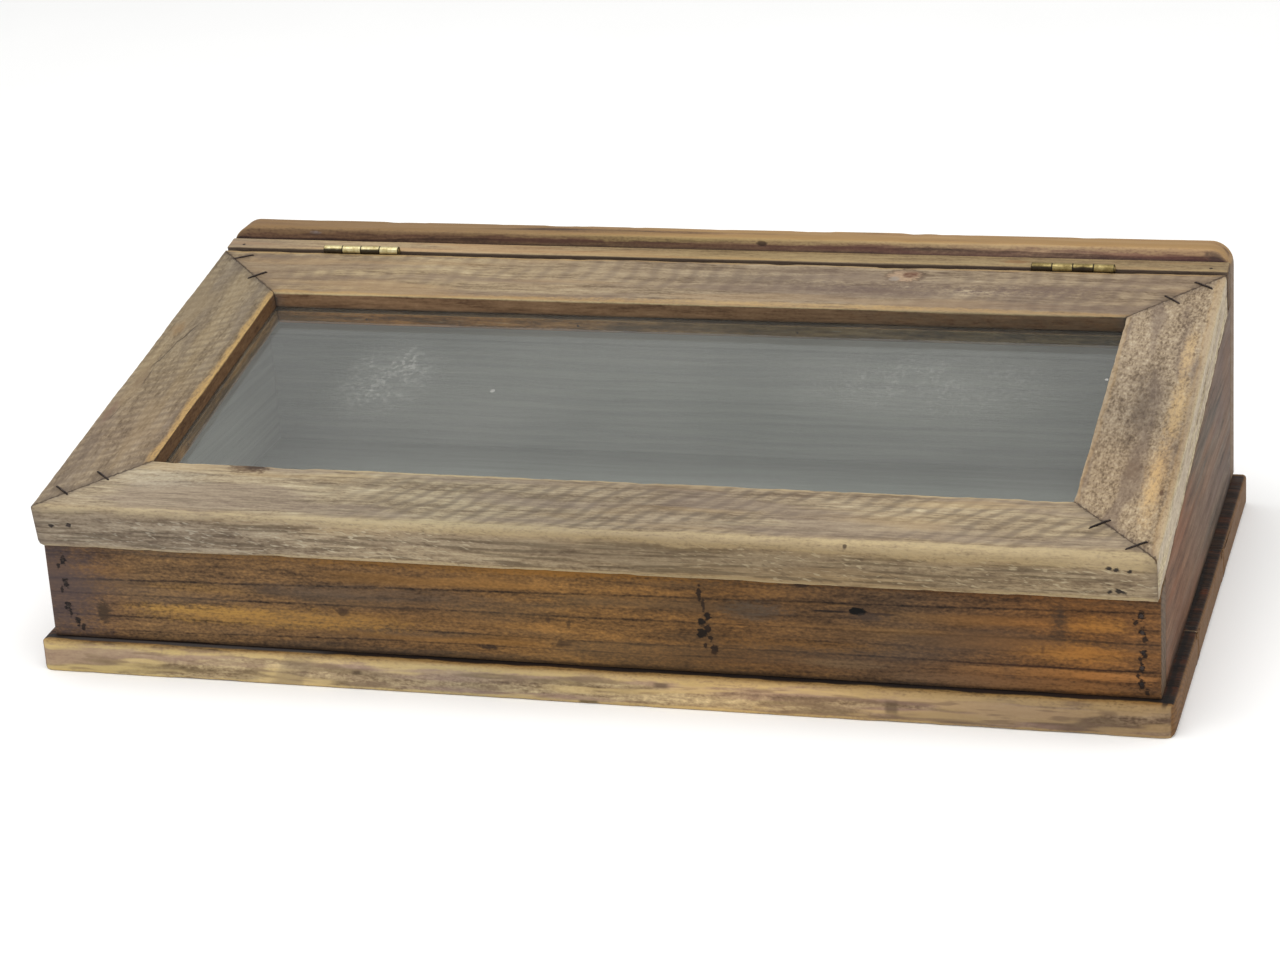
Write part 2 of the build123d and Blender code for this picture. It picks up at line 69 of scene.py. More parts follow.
def vn(x, y, seed):
    """Smooth noise from 0 to 1 over a plane."""
    t = _table(seed)
    x, y = np.asarray(x, float), np.asarray(y, float) + 0 * np.asarray(x, float)
    xi, yi = np.floor(x).astype(int), np.floor(y).astype(int)
    fx, fy = x - xi, y - yi
    fx, fy = fx * fx * (3 - 2 * fx), fy * fy * (3 - 2 * fy)
    a, b = t[xi % 256, yi % 256], t[(xi + 1) % 256, yi % 256]
    c, d = t[xi % 256, (yi + 1) % 256], t[(xi + 1) % 256, (yi + 1) % 256]
    return (a * (1 - fx) + b * fx) * (1 - fy) + (c * (1 - fx) + d * fx) * fy


def fbm(x, y, seed, octaves=3):
    total, amp, norm = 0, 1.0, 0
    for i in range(octaves):
        total = total + amp * vn(x * 2 ** i, y * 2 ** i, seed + i)
        norm += amp
        amp *= 0.5
    return total / norm


# ------------------------------------------------------------------ boards as lofted, worn meshes
def mesh_object(name, verts, faces, smooth=True):
    me = bpy.data.meshes.new(name)
    me.from_pydata([tuple(v) for v in verts], [], [tuple(f) for f in faces])
    me.validate()
    me.polygons.foreach_set("use_smooth", [smooth] * len(me.polygons))
    me.update()
    ob = bpy.data.objects.new(name, me)
    scene.collection.objects.link(ob)
    return ob


def recalc(ob):
    import bmesh
    bm = bmesh.new()
    bm.from_mesh(ob.data)
    bmesh.ops.recalc_face_normals(bm, faces=bm.faces)
    bm.to_mesh(ob.data)
    bm.free()
    ob.data.update()


def board(name, body, node, u0, length, corners, labels, worn, world,
          trim=None, hu=3.0, hs=2.6, re=(0.5, 0.5), na=4, disp=None, post=None,
          mitred=False, fine=None):
    """Lofts a section along the grain. corners(u) gives (v, w, radius) rows, labels name each side's face,
    worn weighs each corner's wear, trim gives the cut lines at both ends, world maps to the row frame in mm."""
    if fine is None:
        def ends(r):
            return [0.0, 0.12 * r, 0.3 * r, 0.55 * r, 0.8 * r, r]
        a0, a1 = ends(re[0]), ends(re[1])
        mid = np.linspace(a0[-1], length - a1[-1], max(3, int(round(length / hu)) + 1))
        st = np.concatenate([a0[:-1], mid, length - np.array(a1[:-1])[::-1]])
    else:
        st = np.array(fine, float)
    K = len(labels)
    base = np.array(corners(u0 + length / 2), float)
    nseg = []
    for i in range(K):
        p, q = base[i], base[(i + 1) % K]
        d = max(0.2, np.hypot(*(q[:2] - p[:2])) - p[2] - q[2])
        nseg.append(max(1, int(round(d / hs))))
    # per-point labels and distance to worn corners
    lab, ed = [], []
    eye = np.eye(4)
    for i in range(K):
        p, q = base[i], base[(i + 1) % K]
        for t in np.linspace(0, 1, na + 1):
            lab.append(eye[labels[i - 1]] * (1 - t) + eye[labels[i]] * t)
            ed.append(0.0 if worn[i] > 0 else 60.0)
        d = np.hypot(*(q[:2] - p[:2]))
        for j in range(1, nseg[i]):
            f = j / nseg[i]
            lab.append(eye[labels[i]])
            x = p[2] + f * (d - p[2] - q[2])
            e0 = (x - p[2]) / worn[i] if worn[i] > 0 else 60.0
            e1 = (d - q[2] - x) / worn[(i + 1) % K] if worn[(i + 1) % K] > 0 else 60.0
            ed.append(min(e0, e1, 60.0))
    lab, ed = np.array(lab), np.array(ed)
    N = len(ed)
    V, W, NV, NW, EG = [], [], [], [], []
    for s in st:
        c = np.array(corners(u0 + s), float)
        pts = []
        for i in range(K):
            p, r = c[i, :2], c[i, 2]
            a, b = c[i - 1, :2] - p, c[(i + 1) % K, :2] - p
            a, b = p + a / np.hypot(*a) * r, p + b / np.hypot(*b) * r
            for t in np.linspace(0, 1, na + 1):
                pts.append((1 - t) ** 2 * a + 2 * t * (1 - t) * p + t * t * b)
            q, r2 = c[(i + 1) % K, :2], c[(i + 1) % K, 2]
            e = p - q
            b2 = q + e / np.hypot(*e) * r2
            for j in range(1, nseg[i]):
                pts.append(b + (b2 - b) * j / nseg[i])
        pts = np.array(pts)
        tan = np.roll(pts, -1, 0) - np.roll(pts, 1, 0)
        tan /= np.maximum(np.hypot(tan[:, 0], tan[:, 1]), 1e-9)[:, None]
        area = np.sum(pts[:, 0] * np.roll(pts[:, 1], -1) - np.roll(pts[:, 0], -1) * pts[:, 1])
        nrm = np.stack([tan[:, 1], -tan[:, 0]], 1) * (1 if area > 0 else -1)
        inset, eg = 0.0, 0.0
        for d, r in ((s, re[0]), (length - s, re[1])):
            if d < r:
                inset = max(inset, r - math.sqrt(max(0.0, r * r - (r - d) ** 2)))
                eg = max(eg, 1 - d / r)
        pts = pts - nrm * inset
        V.append(pts[:, 0]); W.append(pts[:, 1]); NV.append(nrm[:, 0]); NW.append(nrm[:, 1])
        EG.append(np.full(N, eg))
    V, W, NV, NW, EG = map(np.array, (V, W, NV, NW, EG))
    S = st[:, None] + 0 * V
    if trim is None:
        U = u0 + S
        EN = np.full_like(U, 60.0)
    else:
        us, ue = trim(V)
        U = us + S / length * (ue - us)
        EN = np.minimum(U - us, ue - U) * 0.72
    ED = np.broadcast_to(ed, U.shape)
    LB = np.broadcast_to(lab, U.shape + (4,))
    bc = np.stack([U, V, W], -1)
    # caps: one ring inside the end loop, then one face
    def ring(k):
        cv, cw = V[k].mean(), W[k].mean()
        f = 0.9
        v, w = cv + (V[k] - cv) * f, cw + (W[k] - cw) * f
        if trim is None:
            u = U[k].copy()
        else:
            a, b = trim(v)
            u = a if k == 0 else b
        return u, v, w
    Ud, Vd, Wd = U.copy(), V.copy(), W.copy()
    if disp is not None:
        amount = disp(U, V, W, LB, ED)
        fade = 1.0 if trim is None else np.clip(EN / 6.0, 0.0, 1.0)
        Vd, Wd = Vd + NV * amount * fade, Wd + NW * amount * fade
    rows_u, rows_v, rows_w = list(Ud), list(Vd), list(Wd)
    rows_bc, rows_ed, rows_en, rows_eg, rows_lb = list(bc), list(ED), list(EN), list(EG), list(LB)
    faces = []
    M = len(st)
    idx = np.arange(M * N).reshape(M, N)
    a = idx[:-1]; b = idx[1:]
    quads = np.stack([a, np.roll(a, -1, 1), np.roll(b, -1, 1), b], -1).reshape(-1, 4)
    faces += quads.tolist()
    if mitred:
        faces.append(list(idx[0])[::-1]); faces.append(list(idx[-1]))
    else:
        count = M * N
        for k, row in ((0, idx[0]), (M - 1, idx[-1])):
            u, v, w = ring(k)
            rows_u.append(u); rows_v.append(v); rows_w.append(w)
            rows_bc.append(np.stack([u, v, w], -1)); rows_ed.append(np.full(N, 6.0))
            rows_en.append(EN[k]); rows_eg.append(np.ones(N)); rows_lb.append(LB[k])
            new = np.arange(count, count + N); count += N
            faces += np.stack([row, np.roll(row, -1), np.roll(new, -1), new], -1).tolist()
            faces.append(list(new))
    u, v, w = (np.concatenate(x) for x in (rows_u, rows_v, rows_w))
    if post is not None:
        u, v, w = post(u, v, w)
    x, y, z = world(u, v, w)
    ob = mesh_object(name, np.stack([x, y, z], -1) / 1000.0, faces)
    me = ob.data
    at = me.attributes.new("bc", "FLOAT_VECTOR", "POINT")
    at.data.foreach_set("vector", np.concatenate(rows_bc).astype(np.float32).ravel())
    at = me.attributes.new("em", "FLOAT_VECTOR", "POINT")
    em = np.stack([np.concatenate(rows_ed), np.concatenate(rows_en), np.concatenate(rows_eg)], -1)
    at.data.foreach_set("vector", em.astype(np.float32).ravel())
    at = me.attributes.new("fa", "FLOAT_COLOR", "POINT")
    at.data.foreach_set("color", np.concatenate(rows_lb).astype(np.float32).ravel())
    recalc(ob)
    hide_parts(node)
    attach(ob, body)
    return ob


# ------------------------------------------------------------------ node helper
def lin(c):
    return tuple((x / 255 / 12.92) if x / 255 <= 0.04045 else ((x / 255 + 0.055) / 1.055) ** 2.4 for x in c) + (1.0,)


class T:
    def __init__(self, name):
        self.mat = bpy.data.materials.new(name)
        self.mat.use_nodes = True
        self.nt = self.mat.node_tree
        self.nt.nodes.clear()
        self.out = self.nt.nodes.new("ShaderNodeOutputMaterial")
        self.bsdf = self.nt.nodes.new("ShaderNodeBsdfPrincipled")
        self.nt.links.new(self.bsdf.outputs[0], self.out.inputs[0])

    def put(self, sock, value):
        if hasattr(value, "is_linked"):
            self.nt.links.new(value, sock)
        else:
            sock.default_value = value

    def m(self, op, a, b=0.0, c=0.0, clamp=False):
        n = self.nt.nodes.new("ShaderNodeMath")
        n.operation = op
        n.use_clamp = clamp
        for i, x in enumerate((a, b, c)):
            self.put(n.inputs[i], x)
        return n.outputs[0]

    def add(self, a, b): return self.m("ADD", a, b)
    def sub(self, a, b): return self.m("SUBTRACT", a, b)
    def mul(self, a, b): return self.m("MULTIPLY", a, b)
    def mad(self, a, b, c): return self.m("MULTIPLY_ADD", a, b, c)

    def attr(self, name):
        n = self.nt.nodes.new("ShaderNodeAttribute")
        n.attribute_name = name
        return n

    def split(self, v):
        n = self.nt.nodes.new("ShaderNodeSeparateXYZ")
        self.put(n.inputs[0], v)
        return n.outputs[0], n.outputs[1], n.outputs[2]

    def join(self, x, y, z):
        n = self.nt.nodes.new("ShaderNodeCombineXYZ")
        for i, v in enumerate((x, y, z)):
            self.put(n.inputs[i], v)
        return n.outputs[0]

    def scaled(self, v, s, o=(0, 0, 0)):
        n = self.nt.nodes.new("ShaderNodeMapping")
        self.put(n.inputs[0], v)
        n.inputs["Location"].default_value = o
        n.inputs["Scale"].default_value = s
        return n.outputs[0]

    def noise(self, v, s=(1, 1, 1), o=(0, 0, 0), detail=2.0, rough=0.5, dist=0.0):
        n = self.nt.nodes.new("ShaderNodeTexNoise")
        self.put(n.inputs["Vector"], self.scaled(v, s, o))
        n.inputs["Scale"].default_value = 1.0
        n.inputs["Detail"].default_value = detail
        n.inputs["Roughness"].default_value = rough
        n.inputs["Distortion"].default_value = dist
        return n.outputs["Fac"]

    def sm(self, x, lo, hi, to0=0.0, to1=1.0):
        n = self.nt.nodes.new("ShaderNodeMapRange")
        n.interpolation_type = "SMOOTHSTEP"
        self.put(n.inputs["Value"], x)
        self.put(n.inputs["From Min"], lo)
        self.put(n.inputs["From Max"], hi)
        n.inputs["To Min"].default_value = to0
        n.inputs["To Max"].default_value = to1
        return n.outputs[0]

    def ramp(self, x, stops):
        n = self.nt.nodes.new("ShaderNodeValToRGB")
        self.put(n.inputs[0], x)
        e = n.color_ramp.elements
        e[0].position, e[0].color = stops[0][0], lin(stops[0][1])
        e[1].position, e[1].color = stops[-1][0], lin(stops[-1][1])
        for p, c in stops[1:-1]:
            k = e.new(p)
            k.color = lin(c)
        return n.outputs[0]

    def gains(self, x, stops):
        n = self.nt.nodes.new("ShaderNodeValToRGB")
        self.put(n.inputs[0], x)
        e = n.color_ramp.elements
        for i, (p, c) in enumerate((stops[0], stops[-1])):
            e[i].position, e[i].color = p, tuple(q ** 2.2 for q in c) + (1.0,)
        for p, c in stops[1:-1]:
            e.new(p).color = tuple(q ** 2.2 for q in c) + (1.0,)
        return n.outputs[0]

    def mix(self, f, a, b, mode="MIX"):
        n = self.nt.nodes.new("ShaderNodeMix")
        n.data_type = "RGBA"
        n.blend_type = mode
        self.put(n.inputs["Factor"], f)
        for k, x in ((6, a), (7, b)):
            if isinstance(x, tuple) and len(x) == 3:
                x = lin(x)
            self.put(n.inputs[k], x)
        return n.outputs[2]

    def bump(self, h, strength, dist):
        n = self.nt.nodes.new("ShaderNodeBump")
        n.inputs["Strength"].default_value = strength
        n.inputs["Distance"].default_value = dist
        self.put(n.inputs["Height"], h)
        self.nt.links.new(n.outputs[0], self.bsdf.inputs["Normal"])


def wood(name, ramp, seed, k=(0.55, 0.5, 0.4, 0.25), fs=(0.07, 1.5), warp=5.0, rings=None, lines=(),
         blobs=(), cracks=(), wear=None, saw=None, flecks=None, tints=(), joint=True, paint=None,
         rough=(0.6, 0.85), bump=0.6, faces=None, endgrain=(92, 72, 52), spec=0.3, dirt_and_shade=None, gain=None, depth=""):
    """Weathered wood in board coordinates: u along the grain, v across it, w through it."""
    t = T(name)
    o = (seed * 37.3, seed * 11.7, seed * 5.1)
    bc = t.attr("bc").outputs["Vector"]
    em = t.attr("em").outputs["Vector"]
    fa = t.attr("fa")
    ed, en, eg = t.split(em)
    fA, fB, fC = t.split(fa.outputs["Color"])
    fD = fa.outputs["Alpha"]
    face = {"A": fA, "B": fB, "C": fC, "D": fD}
    u, v, w = t.split(bc)
    big = t.noise(bc, (0.006, 0.03, 0.03), o, 2.0)
    vw = t.mad(t.sub(big, 0.5), warp, v)
    ww = t.mad(t.sub(big, 0.5), warp * 0.6, w)
    p = t.join(u, vw, ww)
    fine = t.noise(p, (fs[0], fs[1], fs[1]), o, 2.0, 0.6)
    mid = t.noise(p, (fs[0] * 0.4, fs[1] * 0.33, fs[1] * 0.33), o, 2.0, 0.55)
    speck = t.noise(bc, (0.4, 0.75, 0.75), o, 1.5, 0.6)
    jn = t.noise(bc, (0.3, 0.5, 0.5), (o[0] + 61, o[1], o[2]), 2.0, 0.7)
    broad = t.noise(p, (0.006, 0.1, 0.1), o, 2.0)
    mott = t.noise(bc, (0.12, 0.3, 0.3), o, 4.0, 0.65)
    val = 0.5
    for x, a in ((fine, k[0]), (mid, k[1]), (broad, k[2]), (mott, k[3]), (speck, k[4] if len(k) > 4 else 0.35)):
        val = t.mad(t.sub(x, 0.5), a, val)
    if rings:
        spacing, dark, tilt, center = rings
        wv = t.mad(ww, tilt, vw)
        if center is not None:
            cu, cv, stretch = center
            dv = t.sub(wv, cv)
            du = t.mul(t.sub(u, cu), stretch)
            wv = t.m("SQRT", t.add(t.mul(dv, dv), t.mul(du, du)))
        r = t.m("FRACT", t.mad(wv, 1.0 / spacing, t.mul(mid, 0.25)))
        late = t.mul(t.sm(r, 0.45, 0.88), t.sm(r, 0.93, 1.0, 1.0, 0.0))
        val = t.mad(late, -dark, val)
    for (a, b, c, width, dark, seedn) in lines:
        wob = t.noise(bc, (0.008, 0.0, 0.0), (seedn * 3.1, seedn, 0), 1.0)
        f = t.mad(u, b, t.mad(t.mul(u, u), c, a))
        d = t.m("ABSOLUTE", t.sub(v, t.mad(t.sub(wob, 0.5), 3.0, f)))
        val = t.mad(t.sm(d, 0.0, width, 1.0, 0.0), -dark, val)
        d2 = t.sub(t.mad(t.sub(wob, 0.5), 3.0, f), v)
        val = t.mad(t.mul(t.sm(d2, 0.0, 4.5, 1.0, 0.0), t.m("GREATER_THAN", d2, 0.0)), -dark * 0.22, val)
    col = t.ramp(val, ramp)
    height = t.mad(fine, 0.6, t.mad(mid, 0.6, t.mul(speck, 0.4)))
    if saw:
        period, tilt, colour, strength, cut, high = saw[:6]
        ph = t.mad(v, tilt, u)
        lowf = t.noise(bc, (0.015, 0.04, 0.04), (o[0] + 3, o[1], o[2]), 2.0)
        s1 = t.m("SINE", t.mad(lowf, 9.0, t.mul(ph, 2 * math.pi / period)))
        s1 = t.mad(s1, 0.5, 0.5)
        where = t.sm(t.noise(bc, (0.008, 0.05, 0.05), (o[0], o[1] + 9, o[2]), 2.0), cut, cut + 0.16)
        rag = t.sm(t.add(t.mul(s1, 0.5), t.add(t.mul(mott, 0.9), t.mul(speck, 0.5))), 0.85, 1.3)
        if len(saw) > 6:
            where = t.mul(where, t.sm(u, saw[6][0], saw[6][1]))
        sm_ = t.mul(t.mul(rag, where), fA)
        col = t.mix(t.mul(sm_, strength), col, colour)
        height = t.mad(s1, t_or(t, high, fA), height)
    for (fc, colour, strength, sc, lo, hi, off) in tints:
        n = t.noise(p, sc, (o[0] + off, o[1] + off, o[2]), 2.0)
        msk = t.sm(n, lo, hi)
        if fc:
            msk = t.mul(msk, face[fc])
        col = t.mix(t.mul(msk, strength), col, colour)
    if faces:
        for fc, colour, strength in faces:
            col = t.mix(t.mul(face[fc], strength), col, colour, "MULTIPLY")
    if flecks:
        fc, colour, strength, sc, tilt, lo, hi = flecks
        q = t.join(u, t.mad(u, tilt, v), t.mad(u, tilt, w))
        n = t.noise(q, sc, o, 1.0)
        area = t.sm(t.noise(bc, (0.006, 0.04, 0.04), (o[0] + 21, 0, 0), 2.0), 0.36, 0.56)
        msk = t.mul(t.mul(t.sm(n, lo, hi), face[fc]), t.mad(area, 0.8, 0.2))
        col = t.mix(t.mul(msk, strength), col, colour)
        n2 = t.noise(q, (sc[0] * 0.9, sc[1] * 1.1, sc[2] * 1.1), (o[0] + 50, o[1], o[2]), 1.0)
        msk2 = t.mul(t.mul(t.sm(n2, lo, hi), face[fc]), t.mad(area, 0.8, 0.2))
        col = t.mix(t.mul(msk2, strength * 0.7), col, (92, 78, 62))
        height = t.add(height, t.mul(t.sub(msk, msk2), 0.5))
    wn = t.noise(bc, (0.05, 0.18, 0.18), (o[0] + 5, o[1], o[2]), 3.0, 0.6)
    wn2 = t.noise(bc, (0.009, 0.0, 0.0), (o[0] + 15, o[1], o[2]), 2.0)
    grainy = t.mul(t.sm(fine, 0.2, 0.62, 0.35, 1.0), t.sm(speck, 0.25, 0.6, 0.55, 1.15))
    if wear:
        for colour, w0, w1, strength, fc in wear:
            reach = t.mad(t.sub(wn, 0.5), 6.0, t.mad(t.sub(wn2, 0.5), -6.0, ed))
            msk = t.sm(reach, w0, w1, 1.0, 0.0)
            if fc:
                msk = t.mul(msk, t.m("MINIMUM", t.mul(face[fc], 2.0), 1.0))
            tone = t.mix(t.mad(t.sub(fine, 0.5), 1.2, 0.35), colour, tuple(int(c * 0.78) for c in colour))
            col = t.mix(t.mul(t.mul(msk, grainy), strength), col, tone)
    for (cu, cv, ru, rv, colour, strength, soft, fc, jag) in blobs:
        du = t.mul(t.sub(u, cu), 1.0 / ru)
        dv = t.mul(t.sub(w if fc and fc == depth else v, cv), 1.0 / rv)
        d = t.m("SQRT", t.add(t.mul(du, du), t.mul(dv, dv)))
        d = t.mad(t.sub(mott, 0.5), jag, t.mad(t.sub(jn, 0.5), jag * 1.6, d))
        msk = t.sm(d, 1.0 - soft, 1.0, 1.0, 0.0)
        if fc:
            msk = t.mul(msk, face[fc])
        if sum(colour) > 200:
            msk = t.mul(msk, grainy)
        col = t.mix(t.mul(msk, strength), col, colour)
        if sum(colour) < 200:
            height = t.mad(msk, -0.5 * strength, height)
    for (ua, va, ub, vb, width, strength, fc) in cracks:
        slope = (vb - va) / (ub - ua)
        f = t.mad(u, slope, va - slope * ua)
        d = t.m("ABSOLUTE", t.sub(t.mad(t.sub(wn, 0.5), 3.5, v), f))
        lo, hi = min(ua, ub), max(ua, ub)
        rng = t.mul(t.sm(u, lo - 3, lo + 6), t.sm(u, hi - 6, hi + 3, 1.0, 0.0))
        gap = t.mul(t.sm(d, width * 0.3, width, 1.0, 0.0), rng)
        if fc:
            gap = t.mul(gap, face[fc])
        col = t.mix(t.mul(gap, strength), col, (38, 28, 22))
        halo = t.mul(t.sm(d, width, width * 4, 1.0, 0.0), rng)
        if fc:
            halo = t.mul(halo, face[fc])
        col = t.mix(t.mul(halo, strength * 0.25), col, (84, 66, 54))
        height = t.mad(gap, -2.0, height)
    # extra colour masks per board: some are real stains, others are painted shade at joints, in creases and under
    # overhangs
    if dirt_and_shade:
        for cond, colour, strength in dirt_and_shade(t, u, v, w, face, mott, wn):
            col = t.mix(t.mul(cond, strength), col, colour)
    if joint:
        j = t.sm(t.mad(t.sub(jn, 0.5), 4.0, t.mad(t.sub(wn, 0.5), 2.5, en)), 0.1, 1.3, 1.0, 0.0)
        j = t.mul(j, t.mad(fB, -0.75, 1.0))
        col = t.mix(t.mul(t.mul(j, 0.78), t.sm(wn, 0.28, 0.5)), col, (44, 34, 27))
        j2 = t.sm(t.mad(t.sub(wn, 0.5), 10.0, en), 0.5, 6.5, 1.0, 0.0)
        col = t.mix(t.mul(j2, 0.3), col, (98, 84, 74))
    for fc, stops in (gain or {}).items():
        lo, hi = stops[0][0], stops[-1][0]
        g = t.gains(t.m("DIVIDE", t.sub(u, lo), hi - lo), [((a - lo) / (hi - lo), c) for a, c in stops])
        col = t.mix(face[fc], col, t.mix(1.0, col, g, "MULTIPLY"))
    # end grain: rings and pores on the cut ends
    q = t.noise(bc, (0.1, 0.9, 0.9), o, 3.0)
    er = t.m("FRACT", t.mad(t.m("SQRT", t.add(t.mul(vw, vw), t.mul(t.add(w, 30.0), t.add(w, 30.0)))), 0.3, mott))
    ecol = t.mix(t.sm(er, 0.3, 0.9), endgrain, tuple(int(c * 0.72) for c in endgrain))
    ecol = t.mix(t.mul(q, 0.5), ecol, tuple(min(255, int(c * 1.25)) for c in endgrain))
    col = t.mix(t.sm(eg, 0.35, 0.9), col, ecol)
    rgh = t.mad(t.sub(1.0, val), rough[1] - rough[0], rough[0])
    if paint:
        for area, colour in paint(t, u, v, w, face, mott):
            pn = t.noise(p, (0.006, 0.3, 0.3), (o[0] + 31, o[1], o[2]), 3.0, 0.6)
            tone = t.mix(t.sm(pn, 0.3, 0.7), tuple(int(c * 0.93) for c in colour), tuple(min(255, int(c * 1.07)) for c in colour))
            specks = t.sm(t.noise(p, (0.05, 0.9, 0.9), (o[0] + 41, o[1], o[2]), 2.0), 0.64, 0.74)
            tone = t.mix(t.mul(specks, 0.25), tone, (176, 172, 162))
            col = t.mix(t.mul(area, t.sm(eg, 0.2, 0.5, 1.0, 0.0)), col, tone)
    t.put(t.bsdf.inputs["Base Color"], col)
    t.put(t.bsdf.inputs["Roughness"], rgh)
    t.bsdf.inputs["Specular IOR Level"].default_value = spec
    t.bump(height, bump, 0.0006)
    return t.mat


def t_or(t, a, f):
    return t.mul(f, a)


# ------------------------------------------------------------------ wood tones
LID_RAMP = [(0.0, (74, 60, 47)), (0.28, (118, 101, 82)), (0.5, (158, 141, 116)), (0.72, (181, 165, 138)), (1.0, (212, 199, 170))]
STILE_RAMP = [(0.0, (82, 66, 50)), (0.28, (122, 105, 82)), (0.5, (160, 142, 114)), (0.72, (184, 167, 137)), (1.0, (214, 200, 168))]
FRONT_RAMP = [(0.0, (28, 22, 18)), (0.25, (66, 50, 35)), (0.5, (102, 78, 52)), (0.72, (130, 99, 62)), (1.0, (168, 130, 80))]
BACK_RAMP = [(0.0, (42, 30, 25)), (0.3, (84, 62, 48)), (0.55, (120, 92, 68)), (0.8, (156, 124, 90)), (1.0, (190, 158, 116))]
SIDE_RAMP = [(0.0, (54, 45, 42)), (0.3, (88, 76, 70)), (0.55, (118, 103, 93)), (0.8, (140, 124, 108)), (1.0, (168, 150, 126))]
BASE_RAMP = [(0.0, (70, 54, 40)), (0.28, (118, 98, 76)), (0.5, (152, 131, 103)), (0.72, (176, 155, 122)), (1.0, (208, 188, 150))]
GOLD = (196, 162, 108)
PALE = (216, 198, 160)
PURPLE = (112, 96, 86)
GREY = (162, 162, 155)


def staple_marks(items, along_x=True):
    out = []
    for mx, ms, ang in items:
        uu, vv = (mx, ms) if along_x else (ms, mx)
        out.append((uu, vv, 9.5, 9.5, (86, 70, 58), 0.45, 0.9, "A", 1.2))
    return out


FRONT_NAILS = [(314.3, 68.0), (314.8, 58.4), (315.2, 46.6), (314.4, 37.6), (314.4, 28.0),
               (-314.3, 68.0), (-314.0, 53.6), (-314.2, 39.0), (-309.0, 29.8)]
# (u, w) marks live on the lid's front face, so the w coordinate is used there
BRAD_MARKS = [(bx, bn, 1.9, 1.6, (34, 26, 22), 0.95, 0.6, "B", 1.3) for bx, bn in
              ((-313.7, -12.8), (-302.8, -11.6), (298.5, -6.8), (310.0, -8.0), (298.9, -21.0), (306.5, -21.6), (303.0, -7.2), (303.4, -20.6))]
STAPLES = [
    (-308.1, 311.0, 27.0), (-289.4, 286.6, 44.0), (312.5, 306.2, -35.0), (296.0, 287.4, -43.5),
    (-293.9, 36.9, -39.5), (-312.3, 18.9, -39.0), (289.6, 33.2, 41.5), (311.9, 13.4, 39.0),
]

# ------------------------------------------------------------------ lid frame
IN_L, IN_R, IN_F, IN_B = -270.0, 272.0, 55.5, 264.5


def knock_corners(u_is_x):
    """Rounds the lid's outer corners in plan and below, in lid coordinates."""
    def post(u, v, w):
        x, s = (u, v) if u_is_x else (v, u)
        x, s, n = x.copy(), s.copy(), w.copy()
        for sx, rp in ((-1, 2.0), (1, 2.5)):
            for back in (False, True):
                r = rp if not back else 3.0
                dx = sx * x - (325.0 - r)
                ds = (r - s) if not back else (s - (LID_L - r))
                d = np.hypot(dx, ds)
                hit = (dx > 0) & (ds > 0) & (d > r)
                k = np.where(hit, r / np.maximum(d, 1e-9), 1.0)
                nx = sx * (325.0 - r + dx * k)
                ns = (r - ds * k) if not back else (LID_L - r + ds * k)
                x, s = np.where(hit, nx, x), np.where(hit, ns, s)
        # softened lower corners at the front
        for sx, r in ((-1, 5.5), (1, 2.5)):
            dx = sx * x - (325.0 - r)
            dn = (-27.0 + r) - n
            d = np.hypot(dx, dn)
            hit = (dx > 0) & (dn > 0) & (d > r)
            k = np.where(hit, r / np.maximum(d, 1e-9), 1.0)
            fade = np.clip(1.0 - (s - 20.0) / 60.0, 0.25, 1.0)
            x = np.where(hit, x + fade * (sx * (325.0 - r + dx * k) - x), x)
            n = np.where(hit, n + fade * ((-27.0 + r - dn * k) - n), n)
        # relief along the knuckles
        for hx in HINGES:
            inside = np.abs(x - hx) < HL / 2 + 1.2
            ds, dn = s - AXIS_S, n - AXIS_N
            d = np.hypot(ds, dn)
            hit = inside & (d < 3.3)
            k = 3.3 / np.maximum(d, 1e-6)
            s, n = np.where(hit, AXIS_S + ds * k, s), np.where(hit, AXIS_N + dn * k, n)
        return (x, s, n) if u_is_x else (s, x, n)
    return post


def lid_disp(seed, saw_period=14.0, saw_tilt=-0.7, amp=0.12, u_is_x=True):
    def disp(U, V, W, LB, ED):
        top = LB[..., 0]
        d = 0.5 * (fbm(U / 60, V / 25, seed, 3) - 0.5)
        d = d + top * amp * np.sin(2 * math.pi * (U + saw_tilt * V) / saw_period + 5 * vn(U / 50, V / 40, seed + 7))
        d = d + 0.3 * (vn(U / 9, V / 1.8 + W / 1.8, seed + 3) - 0.5) * (LB[..., 0] + LB[..., 1])
        edge = np.clip(1 - ED / 3.0, 0, 1)
        d = d - edge * 0.9 * np.clip(fbm(U / 16, V * 0 + seed, seed + 11, 3) - 0.55, 0, 1) * 2.0
        return d - 0.08
    return disp


def worn_r(base, u, seed, lo=0.6, hi=1.5, scale=40.0):
    return base * (lo + (hi - lo) * float(vn(np.array(u / scale), np.array(seed * 1.7), seed)))


def front_rail_corners(u):
    t = min(1.0, max(0.0, (u + 60.0) / 300.0))
    rt = (2.6 + 3.2 * t) * (0.75 + 0.5 * float(vn(np.array(u / 35.0), np.array(2.0), 5)))
    return [(0, 0, rt), (IN_F, 0, worn_r(1.0, u, 6)), (IN_F, -10.3, 0.3), (46.5, -10.3, 0.3),
            (46.5, -27, 0.6), (0, -27, worn_r(1.7, u, 8))]


def back_rail_corners(u):
    return [(IN_B, 0, worn_r(1.1, u, 9)), (LID_L, 0, worn_r(1.3, u, 10)), (LID_L, -27, 0.8),
            (273.5, -27, 0.6), (273.5, -10.3, 0.3), (IN_B, -10.3, 0.3)]


def left_stile_corners(u):
    return [(-325, 0, worn_r(2.2, u, 12)), (IN_L, 0, worn_r(1.1, u, 13)), (IN_L, -10.3, 0.3), (-279, -10.3, 0.3),
            (-279, -27, 0.6), (-325, -27, worn_r(1.4, u, 14))]


